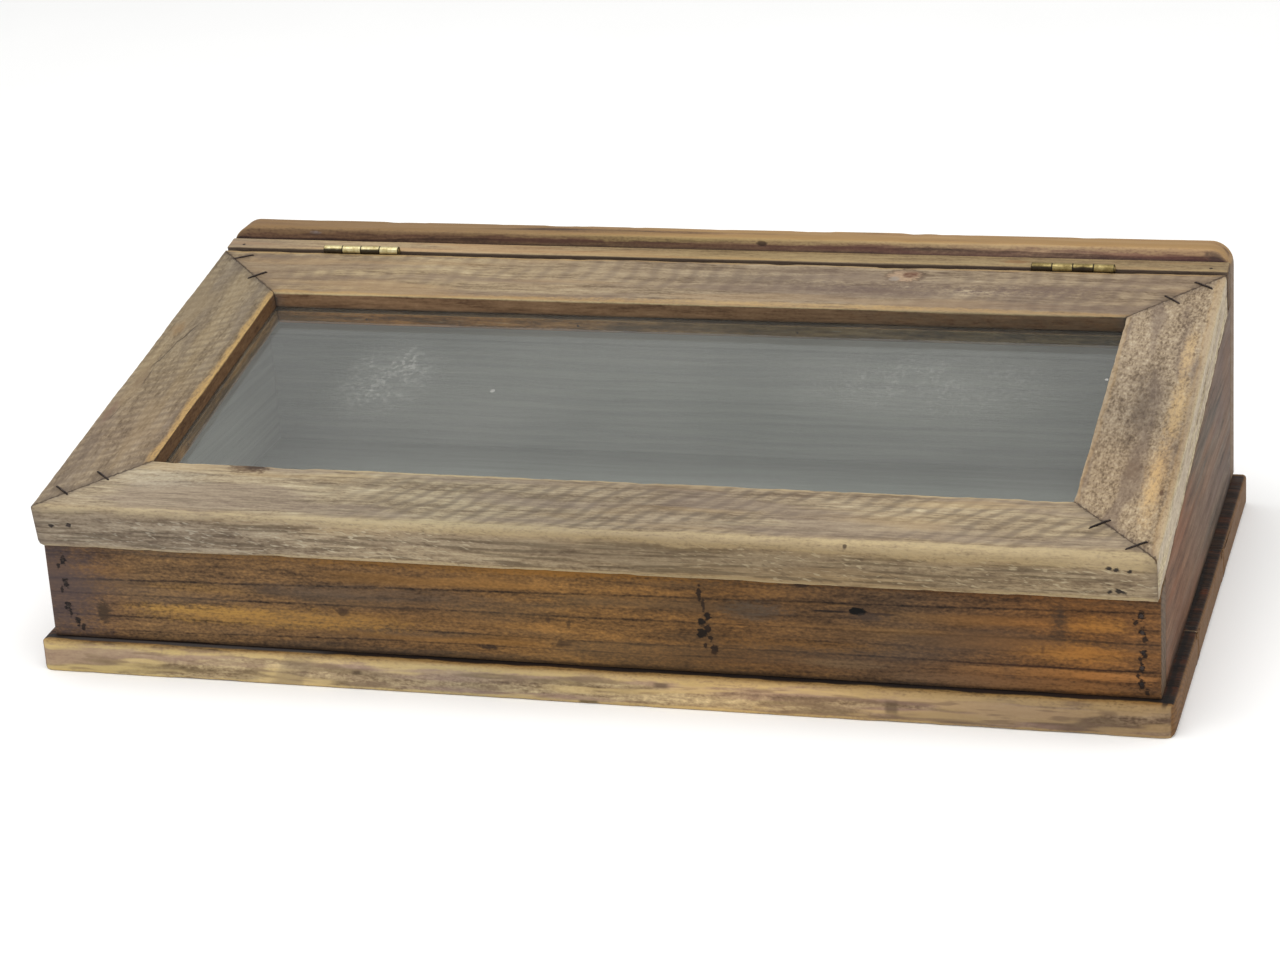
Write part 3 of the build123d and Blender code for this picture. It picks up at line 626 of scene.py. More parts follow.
def right_stile_corners(u):
    return [(325, 0, worn_r(1.8, u, 15)), (IN_R, 0, worn_r(1.1, u, 16)), (IN_R, -10.3, 0.3), (281, -10.3, 0.3),
            (281, -27, 0.6), (325, -27, worn_r(1.2, u, 17))]


G = 0.05
# faces: A top, B outer side, C inner side and rabbet, D underside
o = board("lid_front_rail_wood", "lid", "lid_front_rail", -325, 650, front_rail_corners,
          [0, 2, 3, 2, 3, 1], [1, 0.5, 0, 0, 0, 0.3], lid_world,
          trim=lambda v: (-325 + v * 55 / 55.5 + G, 325 - v * 53 / 55.5 - G), re=(0.4, 0.4),
          disp=lid_disp(21, 15.0, -0.9, 0.14), post=knock_corners(True), mitred=True, hu=3.0, hs=2.3)
o.data.materials.append(wood(
    "wood_lid_front", LID_RAMP, 1, k=(0.75, 0.55, 0.5, 0.4, 0.4), fs=(0.06, 0.6), warp=4.0,
    saw=(13.0, -0.85, (104, 90, 78), 0.62, 0.3, 0.25, (-190.0, -90.0)),
    tints=[("A", (140, 124, 112), 0.45, (0.008, 0.05, 0.05), 0.5, 0.62, 3),
           (None, (186, 160, 118), 0.35, (0.007, 0.06, 0.06), 0.55, 0.68, 9),
           ("B", (126, 112, 98), 0.35, (0.007, 0.09, 0.09), 0.5, 0.64, 13),
           ("B", (92, 78, 60), 0.6, (0.02, 0.42, 0.42), 0.5, 0.62, 23),
           ("A", (96, 84, 68), 0.35, (0.025, 0.42, 0.42), 0.54, 0.66, 33)],
    flecks=("B", (204, 192, 166), 0.6, (0.13, 0.75, 0.75), 0.16, 0.6, 0.7),
    wear=[((208, 190, 154), 0.0, 2.0, 0.75, None), ((186, 160, 116), 0.0, 6.0, 0.3, None)],
    blobs=[(-208, 52.5, 17, 7.5, (98, 76, 56), 0.95, 0.6, "A", 0.7), (-204, 54.0, 10, 4.5, (66, 48, 36), 0.95, 0.6, "A", 0.7),
           (120, 4.0, 190, 3.6, (206, 186, 144), 0.55, 0.9, None, 0.6),
           (-258, 38, 40, 16, (190, 180, 160), 0.45, 0.9, "A", 0.8),
           (156, 1.5, 1.6, 1.2, (60, 46, 36), 0.8, 0.5, None, 0.3)] + staple_marks(STAPLES[4:]) + BRAD_MARKS,
    faces=[("D", (150, 135, 120), 0.8), ("C", (150, 120, 95), 0.8)], depth="B",
    gain={"A": [(-325, (0.95, 0.95, 0.94)), (-190, (0.93, 0.93, 0.91)), (-75, (0.89, 0.90, 0.88)), (45, (0.83, 0.82, 0.81)),
                (165, (0.92, 0.91, 0.88)), (325, (0.95, 0.94, 0.90))],
          "B": [(-325, (0.85, 0.85, 0.87)), (-230, (0.86, 0.86, 0.88)), (-115, (0.96, 0.95, 0.93)), (62, (0.83, 0.80, 0.74)),
                (240, (0.86, 0.83, 0.77)), (325, (0.92, 0.90, 0.86))]}))

o = board("lid_back_rail_wood", "lid", "lid_back_rail", -325, 650, back_rail_corners,
          [0, 1, 3, 2, 3, 2], [1, 0.5, 0, 0, 0, 0], lid_world,
          trim=lambda v: (-325 + (LID_L - v) * 55 / 56 + G, 325 - (LID_L - v) * 53 / 56 - G), re=(0.4, 0.4),
          disp=lid_disp(31, 17.0, -0.6, 0.08), post=knock_corners(True), mitred=True, hu=3.0, hs=2.3)
o.data.materials.append(wood(
    "wood_lid_back", LID_RAMP, 2, k=(0.65, 0.5, 0.55, 0.35, 0.35), fs=(0.06, 0.6), warp=9.0,
    saw=(14.0, -0.2, (104, 88, 80), 0.4, 0.36, 0.2),
    tints=[("A", (122, 104, 92), 0.55, (0.006, 0.06, 0.06), 0.48, 0.6, 5),
           ("A", (172, 146, 112), 0.4, (0.006, 0.05, 0.05), 0.52, 0.66, 2)],
    wear=[((184, 150, 98), 0.5, 3.4, 0.7, "A"), ((198, 172, 128), 0.0, 1.2, 0.4, "A")],
    blobs=[(60, 268.5, 230, 3.4, (200, 168, 114), 0.6, 0.8, "A", 0.6), (215, 285, 60, 9, (126, 110, 100), 0.45, 0.9, "A", 0.8),
           (120, 292, 85, 11, (106, 88, 80), 0.8, 0.9, "A", 1.0), (215, 294, 60, 10, (108, 90, 82), 0.75, 0.9, "A", 1.0),
           (60, 312, 40, 7, (116, 98, 84), 0.6, 0.9, "A", 1.0), (30, 300, 60, 9, (108, 92, 80), 0.6, 0.9, "A", 1.0),
           (130, 309.5, 15, 10.5, (90, 70, 54), 0.9, 0.35, "A", 0.5), (129.5, 309.0, 12, 8.2, (186, 160, 132), 1.0, 0.4, "A", 0.5),
           (133, 310.5, 6.5, 5.2, (104, 66, 48), 0.95, 0.6, "A", 0.5), (124, 305, 4.5, 4.0, (158, 150, 140), 0.8, 0.6, "A", 0.4),
           (-215, 313, 40, 6, (110, 96, 84), 0.6, 0.9, "A", 0.8),
           (-286, 312, 30, 9, (104, 90, 84), 0.55, 0.9, "A", 0.8)] + staple_marks(STAPLES[:4]),
    faces=[("D", (150, 135, 120), 0.8), ("C", (176, 132, 104), 0.95)],
    dirt_and_shade=lambda t, u, v, w, f, m, n: [
        # painted shade: a dark band at the foot of the inner face against the glass; then a patchy darker tone on the
        # inner face from u 60 on
        (t.mul(f["C"], t.sm(w, -10.2, -8.2, 1.0, 0.0)), (66, 48, 36), 0.6),
        (t.mul(f["C"], t.mul(t.sm(u, 60.0, 150.0), t.sm(m, 0.3, 0.6))), (96, 72, 52), 0.55)],
    gain={"A": [(-325, (0.92, 0.90, 0.84)), (-190, (0.95, 0.93, 0.87)), (-50, (0.88, 0.86, 0.83)), (75, (0.88, 0.87, 0.86)), (325, (0.86, 0.83, 0.80))],
          "C": [(-325, (1.10, 1.20, 1.28)), (-190, (1.09, 1.20, 1.27)), (0, (0.98, 1.09, 1.15)), (205, (0.90, 1.0, 1.06)), (325, (0.90, 1.0, 1.06))]}))

o = board("lid_left_stile_wood", "lid", "lid_left_stile", 0, LID_L, left_stile_corners,
          [0, 2, 3, 2, 3, 1], [0.0, 1, 0, 0, 0, 0.0], lambda u, v, w: lid_world(v, u, w),
          trim=lambda v: ((v + 325) * 55.5 / 55 + G, LID_L - (v + 325) * 56 / 55 - G), re=(0.4, 0.4),
          disp=lid_disp(41, 9.0, -0.55, 0.09), post=knock_corners(False), mitred=True, hu=2.8, hs=2.3)
o.data.materials.append(wood(
    "wood_lid_left", STILE_RAMP, 3, k=(0.5, 0.4, 0.5, 0.55, 0.55), fs=(0.08, 0.6), warp=8.0,
    saw=(9.0, -0.55, (116, 100, 84), 0.5, 0.3, 0.2),
    tints=[("A", (142, 128, 112), 0.45, (0.01, 0.07, 0.07), 0.5, 0.64, 5),
           ("A", (172, 150, 112), 0.35, (0.01, 0.05, 0.05), 0.5, 0.62, 12)],
    wear=[((222, 184, 118), 0.8, 4.6, 1.0, "A")],
    cracks=[(222, -304, 194, -310, 0.55, 0.55, "A"), (194, -310, 164, -314.5, 0.5, 0.45, "A"),
            (166, -312.5, 143, -312, 0.4, 0.35, "A"), (118, -315, 100, -317, 0.4, 0.3, "A")],
    blobs=[(214, -316, 14, 6, (156, 122, 82), 0.6, 0.8, "A", 0.6), (150, -315, 26, 6, (120, 96, 74), 0.55, 0.9, "A", 0.6),
           (110, -319, 22, 5, (128, 94, 78), 0.5, 0.9, "A", 0.6)] + staple_marks(STAPLES[:2] + STAPLES[4:6], False),
    faces=[("D", (150, 135, 120), 0.8), ("C", (150, 116, 82), 0.95)],
    gain={"A": [(0, (0.82, 0.81, 0.81)), (85, (0.81, 0.79, 0.79)), (165, (0.81, 0.80, 0.78)), (321, (0.77, 0.77, 0.77))],
          "B": [(0, (0.8, 0.78, 0.74)), (321, (0.8, 0.78, 0.74))]}))

o = board("lid_right_stile_wood", "lid", "lid_right_stile", 0, LID_L, right_stile_corners,
          [0, 2, 3, 2, 3, 1], [1, 0.8, 0, 0, 0, 0.6], lambda u, v, w: lid_world(v, u, w),
          trim=lambda v: ((325 - v) * 55.5 / 53 + G, LID_L - (325 - v) * 56 / 53 - G), re=(0.4, 0.4),
          disp=lid_disp(51, 6.0, 0.3, 0.06), post=knock_corners(False), mitred=True, hu=2.8, hs=2.3)
o.data.materials.append(wood(
    "wood_lid_right", STILE_RAMP, 4, k=(0.4, 0.3, 0.55, 1.0, 1.1), fs=(0.12, 0.55), warp=6.0,
    saw=(6.0, 0.3, (136, 120, 104), 0.25, 0.3, 0.15),
    tints=[("A", (124, 108, 94), 0.6, (0.012, 0.06, 0.06), 0.48, 0.62, 5),
           ("B", (168, 152, 140), 0.6, (0.01, 0.1, 0.1), 0.35, 0.6, 7)],
    wear=[((192, 160, 108), 0.5, 3.5, 0.6, "A"), ((204, 188, 160), 0.0, 1.8, 0.5, None)],
    blobs=[(222, 314, 40, 6.0, (216, 186, 134), 0.72, 0.9, "A", 0.5), (160, 315, 52, 7.5, (218, 186, 130), 0.75, 0.9, "A", 0.5),
           (80, 313, 62, 8.0, (216, 184, 130), 0.75, 0.9, "A", 0.5), (91, 298, 16, 8, (108, 86, 66), 0.5, 0.9, "A", 0.8),
           (68, 318, 4, 1.4, (90, 64, 44), 0.8, 0.5, "A", 0.5), (222, 317, 3, 1.2, (96, 72, 50), 0.7, 0.5, "A", 0.5),
           (160, 295, 66, 15, (98, 84, 72), 0.55, 0.95, "A", 0.8)] + staple_marks(STAPLES[2:4] + STAPLES[6:], False),
    faces=[("D", (150, 135, 120), 0.8), ("C", (160, 128, 96), 0.9)],
    gain={"A": [(0, (0.94, 0.92, 0.90)), (95, (0.86, 0.83, 0.81)), (150, (0.81, 0.80, 0.81)), (230, (0.91, 0.90, 0.91)), (321, (0.9, 0.88, 0.87))],
          "B": [(0, (1.06, 1.07, 1.04)), (321, (1.06, 1.07, 1.04))]}))


# ------------------------------------------------------------------ glazing beads
def bead(name, node, u_is_x, corners, trim, seed, length, u0):
    o = board(name, "lid", node, u0, length, corners, [3, 1, 0, 2], [0, 0.5, 0.5, 0],
              lid_world if u_is_x else (lambda u, v, w: lid_world(v, u, w)),
              trim=trim, re=(0.3, 0.3), mitred=True, hu=5.0, hs=2.2, na=3,
              disp=lambda U, V, W, LB, ED: 0.25 * (fbm(U / 30, V / 4 + W / 4, seed, 3) - 0.5) - 0.05)
    o.data.materials.append(wood(
        "wood_" + name, [(0.0, (58, 46, 36)), (0.35, (110, 86, 60)), (0.6, (150, 118, 80)), (1.0, (196, 160, 112))],
        seed, k=(1.1, 1.0, 0.9, 0.6, 0.5), fs=(0.05, 0.5), bump=0.5,
        tints=[(None, (78, 72, 62), 0.75, (0.006, 0.08, 0.08), 0.42, 0.58, 4),
               (None, (186, 182, 170), 0.35, (0.05, 0.5, 0.5), 0.66, 0.74, 8)],
        # darkens the face against the rabbet towards the right (front and back beads only), and lays a near-black band
        # on it next to the glass: painted shade in that crease
        dirt_and_shade=lambda t, u, v, w, f, m, n: [(t.mul(t.sm(u, -200.0, 200.0), t.mul(f["C"], 1.0 if u_is_x else 0.0)), (62, 59, 52), 0.85),
                                          (t.mul(f["C"], t.sm(w, -15.2, -14.2)), (26, 22, 18), 0.75)],
        gain={k: ([(-280, (1.35, 1.18, 0.98)), (-150, (1.28, 1.13, 0.95)), (20, (0.80, 0.81, 0.78)), (205, (0.73, 0.79, 0.84)), (281, (0.73, 0.79, 0.84))]
                  if u_is_x else [(46, (1.12, 1.04, 0.92)), (273, (1.06, 1.0, 0.9))]) for k in "AB"},
        wear=[((150, 122, 84), 0.0, 1.6, 0.5, None)]))
    return o


T0, T1 = -13.35, -21.8
bead("bead_front_wood", "bead_front", True,
     lambda u: [(46.6, T0, 0.3), (IN_F, T0, 0.3), (IN_F, T1, 0.9), (46.6, T1, 0.3)],
     lambda v: (-279 + (v - 46.5) + 0.1, 281 - (v - 46.5) - 0.1), 61, 560, -279)
bead("bead_back_wood", "bead_back", True,
     lambda u: [(273.4, T0, 0.3), (IN_B, T0, 0.3), (IN_B, T1, 0.9), (273.4, T1, 0.3)],
     lambda v: (-279 + (273.5 - v) + 0.1, 281 - (273.5 - v) - 0.1), 62, 560, -279)
bead("bead_left_wood", "bead_left", False,
     lambda u: [(-278.9, T0, 0.3), (IN_L, T0, 0.3), (IN_L, T1, 0.9), (-278.9, T1, 0.3)],
     lambda v: (46.5 + (v + 279) + 0.1, 273.5 - (v + 279) - 0.1), 63, 227, 46.5)
bead("bead_right_wood", "bead_right", False,
     lambda u: [(280.9, T0, 0.3), (IN_R, T0, 0.3), (IN_R, T1, 0.9), (280.9, T1, 0.3)],
     lambda v: (46.5 + (281 - v) + 0.1, 273.5 - (281 - v) - 0.1), 64, 227, 46.5)


# ------------------------------------------------------------------ walls
def post_relief(u, v, w):
    s, n = v.copy(), w.copy()
    for hx in HINGES:
        inside = np.abs(u - hx) < HL / 2 + 1.2
        ds, dn = s - AXIS_S, n - AXIS_N
        d = np.hypot(ds, dn)
        hit = inside & (d < 3.3)
        k = 3.3 / np.maximum(d, 1e-6)
        s, n = np.where(hit, AXIS_S + ds * k, s), np.where(hit, AXIS_N + dn * k, n)
    return u, s, n


def rough_disp(seed, amp=0.4, chip=0.8, across=20.0):
    def disp(U, V, W, LB, ED):
        d = amp * (fbm(U / 70, V / across + W / across, seed, 3) - 0.5)
        edge = np.clip(1 - ED / 3.0, 0, 1)
        return d - edge * chip * np.clip(fbm(U / 18, V * 0 + seed, seed + 5, 3) - 0.55, 0, 1) * 2.0 - 0.05
    return disp


o = board("hinge_rail_wood", "case", "hinge_rail", -325, 650,
          lambda u: [(324.7, 0, worn_r(0.9, u, 71)), (337.5, 0, 0.8), (332.8, -26.9, 0.4), (324.7, -26.9, 0.4)],
          [0, 2, 3, 1], [0.8, 0.4, 0, 0], lid_world, re=(1.2, 1.2), hu=3.0, hs=1.8,
          disp=lambda U, V, W, LB, ED: 0.3 * (fbm(U / 40, V / 5 + W / 5, 72, 3) - 0.5) - 0.08, post=post_relief)
o.data.materials.append(wood(
    "wood_hinge_rail", [(0.0, (78, 62, 50)), (0.3, (122, 104, 84)), (0.55, (158, 140, 112)), (0.8, (180, 162, 130)), (1.0, (206, 190, 156))],
    7, k=(0.6, 0.55, 0.5, 0.3), fs=(0.06, 1.3),
    tints=[("A", (172, 138, 100), 0.5, (0.006, 0.1, 0.1), 0.5, 0.64, 5)],
    wear=[((196, 170, 124), 0.0, 2.0, 0.5, "A")], joint=False,
    blobs=[(195, 331, 12, 3.5, (150, 112, 78), 0.6, 0.7, "A", 0.5)],
    gain={"A": [(-325, (1.04, 1.03, 1.02)), (-150, (1.0, 0.98, 0.95)), (0, (0.88, 0.85, 0.76)), (325, (0.88, 0.86, 0.80))]},
    # painted shade: the face towards the lid (B), in the narrow gap, is darkened all over; the top is greyed towards
    # the left end
    dirt_and_shade=lambda t, u, v, w, f, m, n: [(f["B"], (58, 42, 42), 0.8),
                                      (t.mul(f["A"], t.sm(u, -250.0, -320.0)), (110, 98, 88), 0.5)]))

o = board("front_board_wood", "case", "front_board", -325, 650,
          lambda u: [(BASE_T + 0.05, 0, worn_r(0.8, u, 81)), (under(0) - 0.05, 0, 0.5), (under(19) - 0.05, 19, 0.4), (BASE_T + 0.05, 19, 0.4)],
          [0, 3, 2, 3], [0.4, 0.3, 0, 0], lambda u, v, w: (u, w - YC, v), re=(1.0, 1.0), hu=3.4, hs=2.6,
          disp=rough_disp(82, 0.35, 0.4))
o.data.materials.append(wood(
    "wood_front_board", FRONT_RAMP, 8, k=(0.48, 0.42, 0.42, 0.4, 0.7), fs=(0.05, 0.5), warp=3.0,
    lines=[(63.4, 0.021, -5e-6, 1.1, 0.24, 1), (49.6, 0.0065, 0.0, 1.0, 0.22, 2), (35.4, 0.002, -8e-6, 0.9, 0.22, 3),
           (29.3, 0.008, -2e-5, 0.8, 0.16, 4), (75.0, 0.005, 0.0, 0.8, 0.12, 5), (56.0, 0.012, 0.0, 0.7, 0.08, 6),
           (42.4, 0.004, 0.0, 0.7, 0.08, 7)],
    tints=[(None, (146, 108, 58), 0.4, (0.005, 0.07, 0.07), 0.52, 0.66, 4),
           (None, (82, 72, 62), 0.38, (0.006, 0.06, 0.06), 0.52, 0.66, 14)],
    blobs=[(-60, 77.5, 215, 5.5, (134, 98, 50), 0.7, 0.6, "A", 0.9), (215, 77, 110, 3.5, (122, 86, 46), 0.6, 0.7, "A", 0.9),
           (-185, 38.5, 112, 8.5, (150, 114, 60), 0.85, 0.7, "A", 0.6), (-225, 54.5, 45, 4.0, (146, 112, 64), 0.45, 0.8, "A", 0.8),
           (-230, 40.5, 60, 3.5, (164, 126, 64), 0.6, 0.8, "A", 0.7),
           (-320, 50, 42, 60, (74, 64, 62), 0.7, 0.8, "A", 0.7), (-120, 57, 120, 6.5, (88, 76, 66), 0.55, 0.8, "A", 0.5),
           (60, 59, 80, 5.0, (96, 80, 64), 0.4, 0.8, "A", 0.5), (100, 59, 24, 8.5, (74, 74, 74), 0.55, 0.7, "A", 0.7),
           (292, 61, 24, 6.5, (152, 118, 66), 0.75, 0.8, "A", 0.8), (280, 44, 38, 8, (150, 116, 66), 0.7, 0.8, "A", 0.8),
           (270, 62, 7, 14, (50, 46, 44), 0.75, 0.9, "A", 0.8), (261, 45, 1.6, 4, (60, 46, 36), 0.5, 0.9, "A", 1.2),
           (130, 40, 70, 5, (140, 102, 52), 0.4, 0.8, "A", 0.8),
           # knots
           (-292, 36, 5, 9, (60, 48, 34), 0.85, 0.6, "A", 0.8), (-142, 44.5, 5, 3.5, (58, 44, 34), 0.8, 0.6, "A", 0.7),
           (73, 50, 9, 24, (84, 66, 48), 0.6, 0.9, "A", 1.0),
           (70, 68, 1.7, 5.0, (34, 26, 22), 0.9, 0.45, "A", 1.1), (72, 61, 1.3, 5.0, (38, 30, 26), 0.85, 0.45, "A", 1.1),
           (74, 54, 2.4, 3.0, (24, 18, 16), 0.95, 0.4, "A", 1.0), (70.5, 50.5, 2.8, 2.6, (20, 16, 14), 0.95, 0.4, "A", 1.0),
           (74, 46.8, 2.0, 3.0, (28, 20, 18), 0.9, 0.4, "A", 1.0), (70, 43.2, 3.6, 3.2, (18, 14, 12), 0.95, 0.4, "A", 1.0),
           (75.5, 40.5, 2.2, 2.4, (26, 20, 17), 0.9, 0.4, "A", 1.0), (77, 34, 2.6, 4.0, (30, 22, 20), 0.9, 0.4, "A", 1.1),
           (72, 36.5, 1.4, 2.0, (30, 22, 20), 0.85, 0.4, "A", 1.0),
           (159, 62, 15, 5.5, (78, 60, 44), 0.8, 0.9, "A", 0.7), (159, 62, 5.8, 2.7, (6, 5, 4), 1.0, 0.25, "A", 0.6), (150, 64.8, 9, 0.9, (150, 116, 72), 0.5, 0.6, "A", 0.5),
           (143, 61.2, 13, 0.9, (36, 28, 24), 0.85, 0.5, "A", 0.4), (173, 61.0, 12, 1.0, (58, 46, 38), 0.7, 0.6, "A", 0.4),
           (165, 58.5, 16, 3, (74, 62, 52), 0.6, 0.8, "A", 0.7), (128, 75.7, 6, 1.6, (40, 30, 26), 0.8, 0.6, "A", 0.6),
           (-56, 28, 8, 2, (40, 32, 30), 0.8, 0.6, "A", 0.8), (-11, 32.6, 7, 2.4, (54, 42, 34), 0.7, 0.6, "A", 0.9),
           (-7, 45, 2, 4.5, (56, 44, 34), 0.75, 0.6, "A", 0.9), (-19, 47, 1.6, 3.5, (60, 46, 36), 0.7, 0.6, "A", 0.9),
           (243, 32, 6, 8, (60, 52, 46), 0.75, 0.8, "A", 0.9), (-187, 56, 10, 4, (70, 58, 48), 0.6, 0.8, "A", 0.8),
           # pale worn strip at the lower right
           (262, 31.6, 64, 2.9, (150, 116, 74), 0.65, 0.3, "A", 0.12), (300, 31.2, 26, 3.0, (158, 122, 80), 0.5, 0.3, "A", 0.1),
           (262, 35.1, 62, 0.7, (52, 36, 28), 0.7, 0.5, "A", 0.15),
           (245, 24.5, 80, 4.5, (126, 100, 72), 0.75, 0.5, "A", 0.4), (190, 29, 190, 8, (116, 86, 56), 0.4, 0.8, "A", 0.6), (150, 30, 36, 4, (126, 106, 78), 0.5, 0.7, "A", 0.6)]
          + [(nx, nz, 2.4, 3.4, (24, 19, 17), 0.95, 0.6, "A", 1.6) for nx, nz in FRONT_NAILS]
          + [(nx + 3.0 * math.sin(7 * nz), nz - 4.0, 1.5, 2.8, (30, 24, 21), 0.9, 0.6, "A", 1.6) for nx, nz in FRONT_NAILS],
    # painted shade: a dark band along the foot of the front face at the base, and a light darkening along its top under
    # the lid's overhang
    dirt_and_shade=lambda t, u, v, w, f, m, n: [
        (t.mul(f["A"], t.sm(t.mad(t.sub(n, 0.5), 3.0, v), BASE_T + 0.4, BASE_T + 3.0, 1.0, 0.0)), (36, 28, 26), 0.75),
        (t.mul(f["A"], t.sm(v, 74.5, 79.5)), (52, 34, 20), 0.3)],
    wear=[((150, 124, 92), 0.0, 1.2, 0.4, "A")], joint=False, rough=(0.48, 0.75), bump=0.45, spec=0.15,
    gain={"A": [(-325, (1.0, 0.99, 1.04)), (-290, (1.02, 1.0, 1.03)), (-262, (1.06, 1.06, 1.07)), (-95, (1.02, 0.985, 0.94)), (-10, (1.12, 1.065, 0.93)),
                (85, (0.96, 0.895, 0.79)), (185, (0.87, 0.87, 0.92)), (285, (1.05, 0.92, 0.76)), (325, (1.03, 0.93, 0.84))]},
    paint=lambda t, u, v, w, f, m: [(f["C"], GREY)]))


def side(name, node, sign, seed, blobs):
    xo, xi = sign * 325.0, sign * 306.0
    o = board(name, "case", node, 19.0, 302.0,
              lambda u: [(BASE_T + 0.05, xo, 0.7), (under(u) - 0.05, xo, worn_r(0.9, u, seed)), (under(u) - 0.05, xi, 0.4), (BASE_T + 0.05, xi, 0.3)],
              [0, 3, 2, 3], [0.3, 0.4, 0, 0], lambda u, v, w: (w, u - YC, v), re=(0.5, 0.5), hu=4.0, hs=3.2,
              disp=rough_disp(seed, 0.3, 0.3))
    o.data.materials.append(wood(
        "wood_" + name, SIDE_RAMP, seed, k=(0.5, 0.5, 0.5, 0.25, 0.3), fs=(0.05, 0.5), warp=6.0,
        tints=[(None, (86, 88, 92), 0.45, (0.006, 0.08, 0.08), 0.52, 0.66, 3),
               (None, (136, 106, 86), 0.5, (0.006, 0.07, 0.07), 0.5, 0.64, 8),
               (None, (118, 98, 96), 0.5, (0.006, 0.05, 0.05), 0.46, 0.62, 12)],
        rings=(11.0, 0.12, 0.3, None), joint=False, rough=(0.5, 0.8), bump=0.45, spec=0.2, blobs=blobs,
        gain={"A": [(19, (0.95, 0.77, 0.58)), (80, (0.92, 0.69, 0.45)), (160, (0.92, 0.82, 0.67)), (321, (0.81, 0.77, 0.71))]},
        # painted shade: a dark band along the foot of the outer face at the base
        dirt_and_shade=lambda t, u, v, w, f, m, n: [
            (t.mul(f["A"], t.sm(t.mad(t.sub(n, 0.5), 6.0, v), BASE_T + 1, BASE_T + 8, 1.0, 0.0)), (40, 38, 42), 0.7)],
        wear=[((160, 140, 118), 0.0, 1.2, 0.4, "A")],
        paint=lambda t, u, v, w, f, m: [(f["C"], (168, 167, 159))]))
    return o


side("right_side_wood", "right_side_board", 1, 91, [(300, 90, 30, 60, (140, 108, 82), 0.5, 0.8, "A", 0.5),
                                                     (60, 24, 40, 8, (60, 62, 70), 0.5, 0.8, "A", 0.6)])
side("left_side_wood", "left_side_board", -1, 95, [(120, 60, 14, 6, (60, 44, 34), 0.7, 0.6, "A", 0.7),
                                                    (250, 80, 60, 14, (136, 110, 86), 0.5, 0.8, "A", 0.6)])


def back_corners(u):
    a = abs(u) - 311.0
    top = 172.0 if a <= 0 else 158.0 + math.sqrt(max(0.0, 14.0 ** 2 - a * a))
    r = worn_r(2.2, u, 101)
    return [(BASE_T + 0.05, 321, 0.4), (top - 0.05, 321, r), (top - 0.05, 340, worn_r(2.0, u, 102)), (BASE_T + 0.05, 340, 0.8)]


ang = np.radians(np.linspace(90, 0, 12))
left_st = 14.0 * (1 - np.sin(ang))
fine_st = np.concatenate([left_st, np.linspace(14, 636, 176)[1:-1], 650 - left_st[::-1]])
o = board("back_board_wood", "case", "back_board", -325, 650, back_corners,
          [0, 3, 1, 3], [0, 1, 0.8, 0.4], lambda u, v, w: (u, w - YC, v), re=(1.2, 1.2), hs=3.2, na=5,
          disp=rough_disp(103, 0.4, 0.7), fine=fine_st)
o.data.materials.append(wood(
    "wood_back_board", BACK_RAMP, 10, k=(0.5, 0.45, 0.55, 0.3, 0.35), fs=(0.05, 0.55), warp=7.0,
    rings=(9.0, 0.25, 0.5, (20.0, 60.0, 0.12)),
    tints=[("A", (96, 58, 52), 0.45, (0.006, 0.1, 0.1), 0.45, 0.6, 5),
           ("B", (112, 98, 84), 0.5, (0.006, 0.04, 0.04), 0.46, 0.62, 5),
           ("D", (158, 132, 96), 0.8, (0.006, 0.1, 0.1), 0.3, 0.5, 7)],
    wear=[((160, 130, 90), 2.0, 8.0, 0.75, "D"), ((168, 138, 96), 0.0, 1.6, 0.6, None)],
    blobs=[(33, 168.5, 5, 2.2, (48, 30, 24), 0.85, 0.5, "A", 0.6), (317, 165, 10, 9, (58, 46, 40), 0.7, 0.8, "A", 0.9),
           (-267, 169, 5, 1.6, (150, 140, 134), 0.7, 0.6, "A", 0.6),
           (-120, 110, 12, 8, (52, 38, 30), 0.8, 0.6, "B", 0.7), (160, 70, 9, 7, (50, 36, 28), 0.8, 0.6, "B", 0.7),
           (40, 130, 60, 10, (128, 104, 78), 0.5, 0.9, "B", 0.7)],
    cracks=[(-300, 60, -180, 64, 0.6, 0.7, "B"), (90, 140, 210, 137, 0.5, 0.6, "B")],
    # painted shade: the inner face is darkened below a line just under its top, where the hinge rail and lid stand in
    # front of it
    dirt_and_shade=lambda t, u, v, w, f, m, n: [
        (t.mul(f["A"], t.sm(t.mad(t.sub(n, 0.5), 2.0, v), 163.4, 166.2, 1.0, 0.0)), (44, 28, 32), 0.65)],
    joint=False, rough=(0.5, 0.8), bump=0.5, endgrain=(112, 90, 66),
    gain={"A": [(-325, (0.84, 0.82, 0.84)), (-190, (0.85, 0.84, 0.86)), (0, (1.06, 1.14, 1.10)), (220, (1.26, 1.33, 1.45)), (325, (1.18, 1.18, 1.25))],
          "D": [(-325, (0.83, 0.78, 0.70)), (-150, (0.86, 0.82, 0.74)), (0, (0.99, 0.95, 0.84)), (325, (0.99, 0.95, 0.86))]},
    paint=lambda t, u, v, w, f, m: [
        (t.mul(t.mul(f["A"], t.sm(v, 136.0, 137.5, 1.0, 0.0)), t.sm(t.m("ABSOLUTE", u), 306.0, 307.0, 1.0, 0.0)), GREY),
        # the next two are not paint: a paler stripe over a darker one on the grey back wall, a painted highlight line
        # and a painted shade line
        (t.mul(t.mul(f["A"], t.mul(t.sm(v, 98.6, 99.4), t.sm(v, 100.6, 101.4, 1.0, 0.0))), t.sm(t.m("ABSOLUTE", u), 306.0, 307.0, 1.0, 0.0)), (171, 171, 164)),
        (t.mul(t.mul(f["A"], t.mul(t.sm(v, 96.8, 97.4), t.sm(v, 98.2, 98.8, 1.0, 0.0))), t.sm(t.m("ABSOLUTE", u), 306.0, 307.0, 1.0, 0.0)), (142, 142, 135))]))

